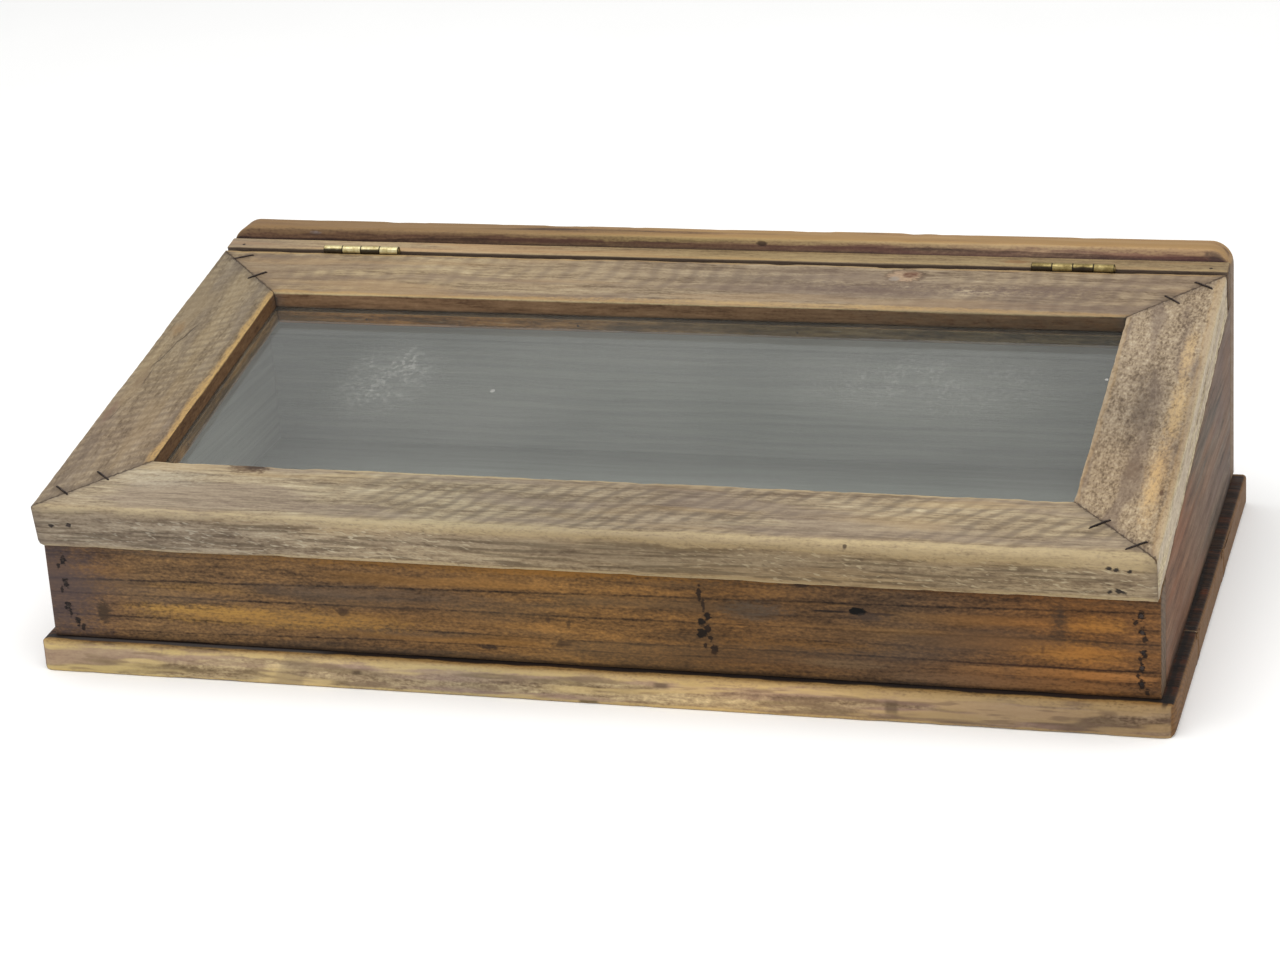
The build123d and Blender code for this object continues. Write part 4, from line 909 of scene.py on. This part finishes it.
# loose floor panel, painted
o = board("floor_panel_grey", "case", "floor_panel", -305.5, 611,
          lambda u: [(19.6, 25, 0.8), (320.4, 25, 0.8), (320.4, BASE_T + 0.05, 0.3), (19.6, BASE_T + 0.05, 0.3)],
          [0, 3, 3, 3], [0.3, 0.3, 0, 0], lambda u, v, w: (u, v - YC, w), re=(0.6, 0.6), hu=8, hs=6,
          disp=lambda U, V, W, LB, ED: 0.25 * (fbm(U / 80, V / 60, 111, 3) - 0.5) - 0.1)
o.data.materials.append(wood(
    "paint_floor_panel", [(0.0, (108, 108, 103)), (0.4, (135, 135, 128)), (0.6, (147, 147, 140)), (1.0, (172, 171, 163))],
    12, k=(0.25, 0.35, 0.4, 0.2), fs=(0.04, 0.8), joint=False, rough=(0.55, 0.75), bump=0.3, endgrain=(120, 112, 98)))


# ------------------------------------------------------------------ base planks
def base_post(u, v, w):
    x, y = u.copy(), v.copy()
    for sx, r in ((-1, 9.0), (1, 8.0)):
        dx, dy = sx * x - (333 - r), (-8 + r) - y
        d = np.hypot(dx, dy)
        hit = (dx > 0) & (dy > 0) & (d > r)
        k = np.where(hit, r / np.maximum(d, 1e-9), 1.0)
        x, y = np.where(hit, sx * (333 - r + dx * k), x), np.where(hit, -8 + r - dy * k, y)
    z = w.copy()
    near = np.clip(1.0 - (y + 8.0) / 40.0, 0.35, 1.0)
    for sx in (-1, 1):
        for top, r in ((True, 6.0 if sx < 0 else 3.4), (False, 5.0 if sx < 0 else 3.8)):
            dx, dz = sx * x - (333 - r), (z - (BASE_T - r)) if top else (r - z)
            d = np.hypot(dx, dz)
            hit = (dx > 0) & (dz > 0) & (d > r)
            k = np.where(hit, r / np.maximum(d, 1e-9), 1.0)
            tx = sx * (333 - r + dx * k)
            tz = (BASE_T - r + dz * k) if top else (r - dz * k)
            x = np.where(hit, x + near * (tx - x), x)
            z = np.where(hit, z + near * (tz - z), z)
    w = z
    r = 3.0
    for sx in (-1, 1):
        dx, dy = sx * x - (333 - r), y - (340 - r)
        d = np.hypot(dx, dy)
        hit = (dx > 0) & (dy > 0) & (d > r)
        k = np.where(hit, r / np.maximum(d, 1e-9), 1.0)
        x, y = np.where(hit, sx * (333 - r + dx * k), x), np.where(hit, 340 - r + dy * k, y)
    return x, y, w


def plank(name, node, ya, yb, ra, rb, seed, blobs, front):
    lab = [1 if front else 3, 0, 1 if not front else 3, 3]
    wa, wb = (1.0 if ra > 1 else 0.0), (1.0 if rb > 1 else 0.0)
    o = board(name, "case", node, -333, 666,
              lambda u: [(ya, 0, 1.4 if ra > 1 else 0.3), (ya, BASE_T, worn_r(ra, u, seed) if ra > 1 else ra),
                         (yb, BASE_T, worn_r(rb, u, seed + 1) if rb > 1 else rb), (yb, 0, 1.2 if rb > 1 else 0.3)],
              lab, [0.5 if ra > 1 else 0, wa, wb, 0], lambda u, v, w: (u, v - YC, w), re=(2.4, 2.4), hu=3.2, hs=3.0,
              disp=rough_disp(seed + 2, 0.6, 1.0, 30.0), post=base_post)
    o.data.materials.append(wood(
        "wood_" + name, BASE_RAMP, seed, k=(0.6, 0.55, 0.7, 0.9, 0.7), fs=(0.05, 0.5), warp=5.0, rings=(8.0, 0.12, 0.6, None),
        tints=[("A", (56, 38, 24), 0.92, (0.004, 0.06, 0.06), 0.1, 0.3, 4),
               ("A", (112, 68, 32), 0.55, (0.02, 0.09, 0.09), 0.5, 0.62, 9),
               ("B", (148, 122, 110), 0.75, (0.006, 0.08, 0.08), 0.44, 0.58, 3),
               ("B", (112, 94, 70), 0.65, (0.012, 0.09, 0.09), 0.5, 0.6, 7),
               ("B", (196, 170, 122), 0.6, (0.014, 0.12, 0.12), 0.5, 0.6, 27),
               ("B", (116, 94, 76), 0.55, (0.03, 0.2, 0.2), 0.54, 0.64, 37),
               ("A", (24, 18, 14), 0.75, (0.01, 0.4, 0.4), 0.48, 0.58, 17)],
        wear=[((206, 178, 124), 0.0, 1.9, 0.85, None), ((178, 152, 110), 0.0, 3.6, 0.35, None)],
        blobs=blobs, joint=False, rough=(0.55, 0.85), bump=0.5, endgrain=(108, 76, 42),
        gain={"A": [(-333, (0.85, 0.78, 0.66)), (300, (0.85, 0.78, 0.66)), (322, (0.74, 0.62, 0.46)), (333, (0.66, 0.54, 0.38))],
              "B": [(-333, (1.05, 1.06, 0.98)), (-290, (1.07, 1.09, 1.02)), (-165, (1.13, 1.14, 1.12)), (-70, (0.97, 1.0, 1.0)), (100, (1.11, 1.08, 1.0)), (240, (0.85, 0.83, 0.83)), (333, (0.82, 0.78, 0.76))]},
        dirt_and_shade=lambda t, u, v, w, f, m, n: [
            # painted shade: a near-black band on the front lip of the top, against the front board and under the lid's
            # overhang
            (t.mul(f["A"], t.mul(t.sm(t.mad(t.sub(n, 0.5), 3.0, v), -4.6, -2.6),
                                 t.sm(v, 1.0, 2.0, 1.0, 0.0))), (28, 23, 27), 0.9),
            # painted shade: a near-black band on the right lip of the top, against the side board
            (t.mul(f["A"], t.mul(t.sm(u, 325.0, 326.5), t.sm(t.mad(t.sub(m, 0.5), 4.0, u), 328.0, 329.5, 1.0, 0.0))), (18, 15, 17), 0.8),
            (t.mul(f["B"], t.mul(t.sm(t.mad(w, -0.55, t.mad(t.sub(m, 0.5), 10.0, u)), -190.0, -184.0),
                                 t.sm(t.mad(w, -0.55, t.mad(t.sub(m, 0.5), 8.0, u)), -172.0, -167.0, 1.0, 0.0))), (104, 88, 72), 0.42),
            (t.mul(f["B"], t.mul(t.sm(t.m("ABSOLUTE", t.add(u, 134.0)), 1.0, 4.0, 1.0, 0.0), t.sm(t.m("ABSOLUTE", t.sub(w, 10.5)), 0.6, 1.8, 1.0, 0.0))), (70, 54, 40), 0.8),
            (t.mul(f["B"], t.mul(t.sm(t.m("ABSOLUTE", t.sub(u, 47.0)), 2.0, 6.0, 1.0, 0.0), t.sm(t.m("ABSOLUTE", t.sub(w, 14.0)), 0.8, 2.2, 1.0, 0.0))), (76, 60, 46), 0.7),
            (t.mul(f["B"], t.mul(t.sm(t.m("ABSOLUTE", t.sub(u, 178.0)), 2.0, 5.0, 1.0, 0.0), t.sm(t.m("ABSOLUTE", t.sub(w, 9.0)), 2.0, 6.0, 1.0, 0.0))), (90, 74, 56), 0.7),
            (t.mul(f["B"], t.mul(t.sm(t.m("ABSOLUTE", t.sub(u, 4.0)), 4.0, 7.0, 1.0, 0.0), t.sm(w, 1.2, 3.0, 1.0, 0.0))), (50, 40, 32), 0.8),
            # a bluish-grey band over the left part of the front lip
            (t.mul(t.mul(f["A"], t.sm(t.m("ABSOLUTE", t.add(u, 235.0)), 70.0, 92.0, 1.0, 0.0)),
                   t.mul(t.sm(v, -5.2, -3.6), t.sm(v, -1.4, -0.6, 1.0, 0.0))), (92, 96, 112), 0.7)] if front else []))
    return o


plank("base_front_wood", "base_plank_front", -8.0, 94.0 - 0.12, 3.0, 0.35, 121,
      [], True)
plank("base_middle_wood", "base_plank_middle", 94.0 + 0.12, 215.0 - 0.12, 0.35, 0.35, 131,
      # first mark: painted shade, a near-black line on the right lip of the top against the side board; then dark joint
      # ends and a brown mark
      [(325.5, 150, 2.6, 75, (16, 14, 16), 0.8, 0.6, "A", 0.8), (329, 97, 5, 5, (16, 12, 10), 0.9, 0.7, "A", 1.2), (329, 213, 4, 4, (18, 14, 12), 0.9, 0.7, "A", 1.2),
       (330, 150, 3, 9, (134, 82, 38), 0.7, 0.8, "A", 0.9)], False)
plank("base_rear_wood", "base_plank_rear", 215.0 + 0.12, 340.0, 0.35, 2.0, 141, [], False)

# ------------------------------------------------------------------ glass
GL, GR, GF, GB = -278.0, 280.0, 47.5, 272.5


def glass_pane():
    xs = np.linspace(GL, GR, 60)
    ss = np.linspace(GF, GB, 26)
    verts, faces = [], []
    X, S = np.meshgrid(xs, ss, indexing="ij")
    wave = 0.05 * (fbm(X / 90, S / 70, 151, 2) - 0.5)
    e = 0.25
    edge_in = lambda X, S: (np.clip(X, GL + e, GR - e), np.clip(S, GF + e, GB - e))
    tx, ts = edge_in(X, S)
    top = np.stack(lid_world(tx, ts, -10.35 + wave * 0), -1).reshape(-1, 3)
    bot = np.stack(lid_world(tx, ts, -13.3 + wave * 0), -1).reshape(-1, 3)
    n, m = X.shape
    idx = np.arange(n * m).reshape(n, m)
    verts = [top, bot]
    quad = lambda a: np.stack([a[:-1, :-1], a[1:, :-1], a[1:, 1:], a[:-1, 1:]], -1).reshape(-1, 4)
    faces = quad(idx).tolist() + quad(idx + n * m)[:, ::-1].tolist()
    ringi = list(idx[:, 0]) + list(idx[-1, 1:]) + list(idx[-2::-1, -1]) + list(idx[0, -2:0:-1])
    k = len(ringi)
    base = 2 * n * m
    side_pts = []
    for r in ringi:
        i, j = divmod(r, m)
        for dz in (-10.35 - e, -13.3 + e):
            side_pts.append(lid_world(X[i, j], S[i, j], dz))
    verts.append(np.array(side_pts))
    for a in range(k):
        b = (a + 1) % k
        t0, t1 = ringi[a], ringi[b]
        m0, m1 = base + 2 * a, base + 2 * b
        faces.append([t0, t1, m1, m0])
        faces.append([m0, m1, m1 + 1, m0 + 1])
        faces.append([m0 + 1, m1 + 1, t1 + n * m, t0 + n * m])
    ob = mesh_object("glass_sheet", np.concatenate(verts) / 1000, faces, smooth=False)
    recalc(ob)
    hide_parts("glass_pane"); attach(ob, "lid")
    return ob


def glass_material():
    t = T("glass_float")
    nt = t.nt
    tc = nt.nodes.new("ShaderNodeTexCoord").outputs["Object"]
    clear = nt.nodes.new("ShaderNodeBsdfTransparent")
    gloss = nt.nodes.new("ShaderNodeBsdfGlossy")
    gloss.inputs["Roughness"].default_value = 0.04
    gloss.inputs["Color"].default_value = (1, 1, 1, 1)
    dust = nt.nodes.new("ShaderNodeBsdfDiffuse")
    dust.inputs["Color"].default_value = lin((205, 203, 196))
    # wipe marks: short arcs of dust and a few dots
    x, y, z = t.split(tc)
    n1 = t.noise(tc, (340, 260, 260), (0, 0, 0), 2.0, 0.7)
    n2 = t.noise(tc, (60, 40, 40), (4, 0, 0), 2.0, 0.7)
    smear = t.mul(t.sm(n1, 0.47, 0.66), t.sm(n2, 0.36, 0.54))

    def spot(cx, cy, rx, ry):
        dx, dy = t.mul(t.sub(x, cx), 1 / rx), t.mul(t.sub(y, cy), 1 / ry)
        d = t.m("SQRT", t.add(t.mul(dx, dx), t.mul(dy, dy)))
        return t.sm(d, 0.2, 1.0, 1.0, 0.0)
    a1 = spot(-0.166, 0.004, 0.040, 0.060)
    a2 = spot(0.16, 0.02, 0.12, 0.06)
    m1 = t.add(t.mul(smear, t.add(t.mul(a1, 0.19), t.mul(a2, 0.09))), t.add(t.mul(a1, 0.05), t.mul(a2, 0.035)))
    d1 = t.sm(spot(-0.096, -0.008, 0.0024, 0.0034), 0.3, 0.6)
    d2 = t.sm(spot(0.268, 0.030, 0.0016, 0.002), 0.3, 0.6)
    film = t.mul(t.noise(tc, (7, 7, 7), (9, 0, 0), 2.0), 0.115)
    rise = t.mad(t.add(y, (YC + 11.5) / 1000), -ST, t.mul(t.sub(z, 0.1055), CT))
    upper = t.sm(rise, -0.0122, -0.0114)
    mask = t.m("MULTIPLY", t.m("MAXIMUM", t.add(m1, film), t.add(t.mul(d1, 0.34), t.mul(d2, 0.6))), upper, 0.0, True)
    clear.inputs["Color"].default_value = (0.93, 0.95, 0.94, 1)
    lw = nt.nodes.new("ShaderNodeLayerWeight")
    lw.inputs["Blend"].default_value = 0.5
    fres = t.mad(t.m("POWER", lw.outputs["Facing"], 5.0), 0.96, 0.04)
    mx1 = nt.nodes.new("ShaderNodeMixShader")
    nt.links.new(fres, mx1.inputs[0])
    nt.links.new(clear.outputs[0], mx1.inputs[1])
    nt.links.new(gloss.outputs[0], mx1.inputs[2])
    mx2 = nt.nodes.new("ShaderNodeMixShader")
    nt.links.new(mask, mx2.inputs[0])
    nt.links.new(mx1.outputs[0], mx2.inputs[1])
    nt.links.new(dust.outputs[0], mx2.inputs[2])
    nt.nodes.remove(t.bsdf)
    nt.links.new(mx2.outputs[0], t.out.inputs[0])
    return t.mat


g = glass_pane()
g.data.materials.append(glass_material())


# ------------------------------------------------------------------ metal
def metal(name, ramp, seed, rough=(0.35, 0.7), metallic=1.0, scale=400.0, bump=0.3, knuckle_shade=None, gaps=None):
    t = T(name)
    tc = t.nt.nodes.new("ShaderNodeTexCoord").outputs["Object"]
    o = (seed, seed * 2.0, seed * 3.0)
    a = t.noise(tc, (scale,) * 3, o, 4.0, 0.6)
    b = t.noise(tc, (scale * 0.25,) * 3, o, 2.0)
    c = t.noise(tc, (scale * 0.4, scale * 4, scale * 4), o, 2.0)
    val = t.mad(t.sub(a, 0.5), 0.8, t.mad(t.sub(b, 0.5), 0.8, t.mad(t.sub(c, 0.5), 0.4, 0.5)))
    col = t.ramp(val, ramp)
    x, y, z = t.split(tc)
    if knuckle_shade:
        # painted shade: below a height near the crest of the barrel the colour is darkened, so only the top of the
        # knuckles stays bright
        rise = t.mad(t.sub(y, 0.14153765), -ST, t.mul(t.sub(z, 0.16250371), CT))
        low = t.sm(t.mad(t.sub(b, 0.5), 0.0012, rise), knuckle_shade[0], knuckle_shade[1], 1.0, 0.0)
        col = t.mix(t.mul(low, knuckle_shade[2]), col, (38, 29, 24))
    # painted shade: thin dark lines across the barrel at the knuckle gaps
    if gaps:
        for g in gaps:
            col = t.mix(t.mul(t.sm(t.m("ABSOLUTE", t.sub(x, g)), 0.00025, 0.0006, 1.0, 0.0), 0.85), col, (30, 23, 18))
    t.put(t.bsdf.inputs["Base Color"], col)
    t.put(t.bsdf.inputs["Roughness"], t.sm(val, 0.2, 0.8, rough[1], rough[0]))
    t.bsdf.inputs["Metallic"].default_value = metallic
    t.bump(t.mad(a, 0.6, t.mul(c, 0.4)), bump, 0.0002)
    return t.mat


BRASS = metal("aged_brass", [(0.0, (86, 70, 40)), (0.35, (140, 120, 74)), (0.6, (182, 164, 112)), (1.0, (222, 208, 160))], 3, (0.3, 0.6), 0.85)
BRASS2 = metal("tarnished_brass", [(0.0, (60, 48, 30)), (0.4, (110, 92, 56)), (0.7, (150, 130, 84)), (1.0, (196, 178, 126))], 8, (0.35, 0.65), 0.85)
RUST = metal("rusty_steel", [(0.0, (22, 18, 17)), (0.4, (44, 36, 33)), (0.7, (66, 54, 48)), (1.0, (104, 88, 78))], 5, (0.5, 0.85), 0.6, 900.0)


def tube(path, radius, sides=8, flat=1.0):
    """A closed round wire along a path of points in mm."""
    path = [Vector(p) for p in path]
    verts, faces = [], []
    up = Vector((0.31, 0.47, 0.83)).normalized()
    frames = []
    for i, p in enumerate(path):
        d = (path[min(i + 1, len(path) - 1)] - path[max(i - 1, 0)]).normalized()
        side = d.cross(up)
        if side.length < 0.2:
            side = d.cross(Vector((1, 0, 0)))
        side.normalize()
        frames.append((p, side, d.cross(side).normalized()))
    for i, (p, a, b) in enumerate(frames):
        r = radius * (0.8 if i in (0, len(frames) - 1) else 1.0)
        for k in range(sides):
            th = 2 * math.pi * (k + 0.5) / sides
            verts.append(p + a * math.cos(th) * r + b * math.sin(th) * r)
    n = len(frames)
    for i in range(n - 1):
        for k in range(sides):
            k2 = (k + 1) % sides
            faces.append([i * sides + k, i * sides + k2, (i + 1) * sides + k2, (i + 1) * sides + k])
    faces.append([k for k in range(sides)][::-1])
    faces.append([(n - 1) * sides + k for k in range(sides)])
    return [tuple(v) for v in verts], faces


def gather(parts):
    V, F = [], []
    for v, f in parts:
        off = len(V)
        V += [tuple(p) for p in v]
        F += [[i + off for i in q] for q in f]
    return V, F


def finish_piece(name, parts, body, nodes, mat):
    V, F = gather(parts)
    ob = mesh_object(name, np.array(V) / 1000, F)
    recalc(ob)
    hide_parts(*nodes)
    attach(ob, body)
    ob.data.materials.append(mat)
    return ob


# staples across the mitres: crown just proud of the wood, corners bent down
parts = []
rs = np.random.RandomState(7)
for mx, ms, angd in STAPLES:
    a = math.radians(angd)
    dx, ds = math.cos(a), math.sin(a)
    lift = 0.25 + 0.2 * rs.rand()
    tip = rs.rand() * 0.4
    pts = []
    for q, n in ((-6.9, -5.0), (-6.9, -1.4), (-6.75, -0.3), (-6.1, lift - 0.15), (-3.0, lift), (0.0, lift + 0.1 * tip), (3.0, lift + 0.1),
                 (6.1, lift - 0.05), (6.75, -0.3), (6.9, -1.4), (6.9, -5.0)):
        pts.append(lid_world(mx + q * dx, ms + q * ds, n))
    parts.append(tube(pts, 0.58, 8))
finish_piece("mitre_staple_wires", parts, "lid", ["mitre_staples"], RUST)


def nail_head(origin, ax, bx, nx, r, dome=0.35, sink=0.25, seed=0, shank=3.0):
    """A worn round head: a shallow dome with a hammered, slightly uneven rim, on a short shank."""
    rs2 = np.random.RandomState(seed)
    rings = [(0.0, dome), (0.35, dome * 0.9), (0.7, dome * 0.55), (0.92, dome * 0.15), (1.0, -0.2), (0.96, -0.6), (0.5, -0.8), (0.45, -shank)]
    o, a, b, n = map(np.array, (origin, ax, bx, nx))
    verts = [tuple(o + n * (dome - sink))]
    faces = []
    S = 12
    wob = 1 + 0.12 * (rs2.rand(S) - 0.5)
    for rr, h in rings[1:]:
        for k in range(S):
            th = 2 * math.pi * k / S
            verts.append(tuple(o + a * (math.cos(th) * r * rr * wob[k]) + b * (math.sin(th) * r * rr * wob[k]) + n * (h - sink + 0.05 * rs2.rand())))
    for k in range(S):
        faces.append([0, 1 + k, 1 + (k + 1) % S])
    R = len(rings) - 1
    for i in range(R - 1):
        for k in range(S):
            k2 = (k + 1) % S
            faces.append([1 + i * S + k, 1 + (i + 1) * S + k, 1 + (i + 1) * S + k2, 1 + i * S + k2])
    faces.append([1 + (R - 1) * S + k for k in range(S)])
    return verts, faces


parts = [nail_head((x, -YC, z), (1, 0, 0), (0, 0, 1), (0, -1, 0), 1.35, 0.3, 0.15, i) for i, (x, z) in enumerate(FRONT_NAILS)]
finish_piece("front_nail_heads", parts, "case", ["front_board_nails"], RUST)
BACK_NAILS = [(s * 315.5, z) for s in (1, -1) for z in (40.0, 78.0, 114.0)] + [(x, 150.0) for x in (-150.0, 0.0, 150.0)]
parts = [nail_head((x, 340 - YC, z), (1, 0, 0), (0, 0, 1), (0, 1, 0), 1.6, 0.4, 0.2, 20 + i) for i, (x, z) in enumerate(BACK_NAILS)]
finish_piece("back_nail_heads", parts, "case", ["back_board_nails"], RUST)
NN = (0, -ST, CT)
UU = (0, CT, ST)
parts = [nail_head(lid_world(x, 328.8, 0), (1, 0, 0), UU, NN, 1.3, 0.3, 0.2, 40 + i) for i, x in enumerate((-314.3, 314.3))]
finish_piece("rail_nail_heads", parts, "case", ["hinge_rail_nails"], RUST)
DN = (0, -CT, -ST)
BRADS = [(-313.7, -12.8), (-302.8, -11.6), (298.5, -6.8), (310.0, -8.0), (298.9, -21.0), (306.5, -21.6)]
parts = [nail_head(lid_world(x, 0, n), (1, 0, 0), NN, DN, 1.15, 0.25, 0.35, 50 + i) for i, (x, n) in enumerate(BRADS)]
finish_piece("front_brad_heads", parts, "lid", ["lid_front_brads"], RUST)
parts = []
bn = -(10.3 + 3.0 + 4.25)
for i, x in enumerate((-210.0, -70.0, 70.0, 210.0)):
    parts.append(nail_head(lid_world(x, IN_F, bn), (1, 0, 0), NN, UU, 0.9, 0.15, 0.1, 60 + i))
    parts.append(nail_head(lid_world(x, IN_B, bn), (1, 0, 0), NN, DN, 0.9, 0.15, 0.1, 70 + i))
for i, s in enumerate((105.0, 215.0)):
    parts.append(nail_head(lid_world(IN_L, s, bn), UU, NN, (1, 0, 0), 0.9, 0.15, 0.1, 80 + i))
    parts.append(nail_head(lid_world(IN_R, s, bn), UU, NN, (-1, 0, 0), 0.9, 0.15, 0.1, 90 + i))
finish_piece("bead_pin_heads", parts, "lid", ["bead_pins"], RUST)


def screw(origin, ax, bx, nx, r, rs_, length, turn, seed):
    """A countersunk slotted screw: polar grid with the slot pressed in, cone and a threaded shank."""
    o, a, b, n = map(np.array, (origin, ax, bx, nx))
    ct, st_ = math.cos(turn), math.sin(turn)
    S = 28
    rr = [0.0, 0.14, 0.28, 0.45, 0.62, 0.78, 0.9, 1.0]
    verts, faces = [], []

    def place(x, y, h):
        x2, y2 = x * ct - y * st_, x * st_ + y * ct
        verts.append(tuple(o + a * x2 + b * y2 + n * h))

    place(0, 0, -0.55)
    for q in rr[1:]:
        for k in range(S):
            th = 2 * math.pi * k / S
            x, y = q * r * math.cos(th), q * r * math.sin(th)
            inside = abs(y) < 0.42
            if inside:
                y = max(-0.36, min(0.36, y))
            h = -0.55 if inside and q < 0.99 else (-0.02 - 0.1 * q * q)
            place(x, y, h)
    prof = [(0.97, -0.35), (rs_ / r, -1.2)]
    zz = -1.4
    while zz > -length:
        prof += [(rs_ / r * 1.08, zz), (rs_ / r * 0.82, zz - 0.45)]
        zz -= 0.9
    prof.append((0.15, -length - 1.2))
    for q, h in prof:
        for k in range(S):
            th = 2 * math.pi * k / S
            place(q * r * math.cos(th), q * r * math.sin(th), h)
    for k in range(S):
        faces.append([0, 1 + k, 1 + (k + 1) % S])
    R = len(rr) - 1 + len(prof)
    for i in range(R - 1):
        for k in range(S):
            k2 = (k + 1) % S
            faces.append([1 + i * S + k, 1 + (i + 1) * S + k, 1 + (i + 1) * S + k2, 1 + i * S + k2])
    faces.append([1 + (R - 1) * S + k for k in range(S)])
    return verts, faces


BASE_SCREWS = [(-250.0, 9.5), (0.0, 9.5), (250.0, 9.5), (-250.0, 330.5), (0.0, 330.5), (250.0, 330.5),
               (-315.5, 60.0), (-315.5, 270.0), (315.5, 60.0), (315.5, 270.0)]
rs = np.random.RandomState(3)
parts = [screw((x, y - YC, 0.45), (1, 0, 0), (0, -1, 0), (0, 0, -1), 3.9, 2.0, 20.0, rs.rand() * 3, i) for i, (x, y) in enumerate(BASE_SCREWS)]
finish_piece("base_screw_set", parts, "case", ["base_screws"], RUST)
SDX, SN = (-16.5, 0.0, 16.5), (-9.0, -12.5, -9.0)
parts = [screw(lid_world(hx + dx, 324.7 - 1.15, n), (1, 0, 0), NN, DN, 2.6, 1.35, 8.5, rs.rand() * 3, 0)
         for hx in HINGES for dx, n in zip(SDX, SN)]
finish_piece("rail_screw_set", parts, "case", ["rail_leaf_screws"], BRASS2)
parts = [screw(lid_world(hx + dx, LID_L + 1.15, n), (1, 0, 0), NN, UU, 2.6, 1.35, 13.0, rs.rand() * 3, 0)
         for hx in HINGES for dx, n in zip(SDX, SN)]
finish_piece("lid_screw_set", parts, "lid", ["lid_leaf_screws"], BRASS2)

GAPS = [[(hx - HL / 2 + k * HL / 4) / 1000 for k in (0, 1, 2, 3, 4)] for hx in HINGES]
PALE_BRASS = [(0.0, (110, 96, 60)), (0.35, (170, 154, 104)), (0.6, (206, 194, 148)), (1.0, (236, 228, 190))]
DULL_BRASS = [(0.0, (64, 54, 32)), (0.4, (122, 106, 64)), (0.7, (158, 142, 94)), (1.0, (196, 182, 130))]
RL = metal("brass_rail_left", PALE_BRASS, 11, (0.3, 0.6), 0.8, knuckle_shade=(0.0014, 0.0023, 0.94), gaps=GAPS[0])
LL = metal("brass_lid_left", PALE_BRASS, 12, (0.3, 0.6), 0.8, knuckle_shade=(-0.0012, 0.0002, 0.8), gaps=GAPS[0])
RR = metal("brass_rail_right", DULL_BRASS, 13, (0.35, 0.65), 0.8, knuckle_shade=(0.0014, 0.0023, 0.92), gaps=GAPS[1])
LR = metal("brass_lid_right", DULL_BRASS, 14, (0.35, 0.65), 0.8, knuckle_shade=(-0.0012, 0.0002, 0.8), gaps=GAPS[1])
for n, mt in (("rail_leaf_left", RL), ("lid_leaf_left", LL), ("rail_leaf_right", RR), ("lid_leaf_right", LR),
              ("hinge_pin_left", BRASS2), ("hinge_pin_right", BRASS2)):
    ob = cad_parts[n]
    ob.data.materials.clear()
    ob.data.materials.append(mt)

# ------------------------------------------------------------------ floor, light, camera
t = T("floor_white")
tc = t.nt.nodes.new("ShaderNodeTexCoord").outputs["Object"]
t.put(t.bsdf.inputs["Base Color"], t.ramp(t.noise(tc, (3, 3, 3), (0, 0, 0), 2.0), [(0.3, (250, 250, 249)), (0.7, (253, 253, 252))]))
t.bsdf.inputs["Roughness"].default_value = 0.9
t.bsdf.inputs["Specular IOR Level"].default_value = 0.1
floor = mesh_object("studio_floor", [(-9, -9, 0), (9, -9, 0), (9, 9, 0), (-9, 9, 0)], [(0, 1, 2, 3)], smooth=False)
floor.data.materials.append(t.mat)

world = bpy.data.worlds.new("studio")
scene.world = world
world.use_nodes = True
bg = world.node_tree.nodes.get("Background")
bg.inputs[0].default_value = (1.0, 1.0, 1.0, 1)
bg.inputs[1].default_value = 0.8


def area(name, loc, target, size, power, colour=(1, 1, 1)):
    d = bpy.data.lights.new(name, "AREA")
    d.shape = "RECTANGLE"
    d.size, d.size_y = size
    d.energy = power
    d.color = colour
    ob = bpy.data.objects.new(name, d)
    scene.collection.objects.link(ob)
    ob.location = loc
    ob.rotation_euler = (Vector(target) - Vector(loc)).to_track_quat("-Z", "Y").to_euler()
    return ob


area("key_light", (-0.05, -0.4, 2.2), (0, 0, 0.05), (2.2, 1.6), 30.0)
area("fill_light", (0.6, -2.0, 0.9), (0, 0, 0.05), (1.6, 1.0), 3.0)

cam = bpy.data.cameras.new("camera")
cam.lens = 3445.372 / 1280 * 36
cam.sensor_width = 36
cam.clip_start = 0.01
co = bpy.data.objects.new("camera", cam)
scene.collection.objects.link(co)
AX, AY, AZ = map(math.radians, (20.975, -16.901, -3.729))
Rz = np.array([[math.cos(AY), -math.sin(AY), 0], [math.sin(AY), math.cos(AY), 0], [0, 0, 1]])
B = np.array([[1, 0, 0], [0, 0, -1], [0, 1, 0]])
Rx = np.array([[1, 0, 0], [0, math.cos(AX), -math.sin(AX)], [0, math.sin(AX), math.cos(AX)]])
Rr = np.array([[math.cos(AZ), -math.sin(AZ), 0], [math.sin(AZ), math.cos(AZ), 0], [0, 0, 1]])
R = Rr @ Rx @ B @ Rz
C = np.array([0, 170, 80]) - R.T @ np.array([10.071, -12.582, 2071.55])
mw = Matrix.Identity(4)
for r in range(3):
    mw[r][0], mw[r][1], mw[r][2] = R[0][r], -R[1][r], -R[2][r]
mw[0][3], mw[1][3], mw[2][3] = C[0] / 1000, (C[1] - YC) / 1000, C[2] / 1000
co.matrix_world = mw
scene.camera = co
scene.view_settings.view_transform = "Standard"
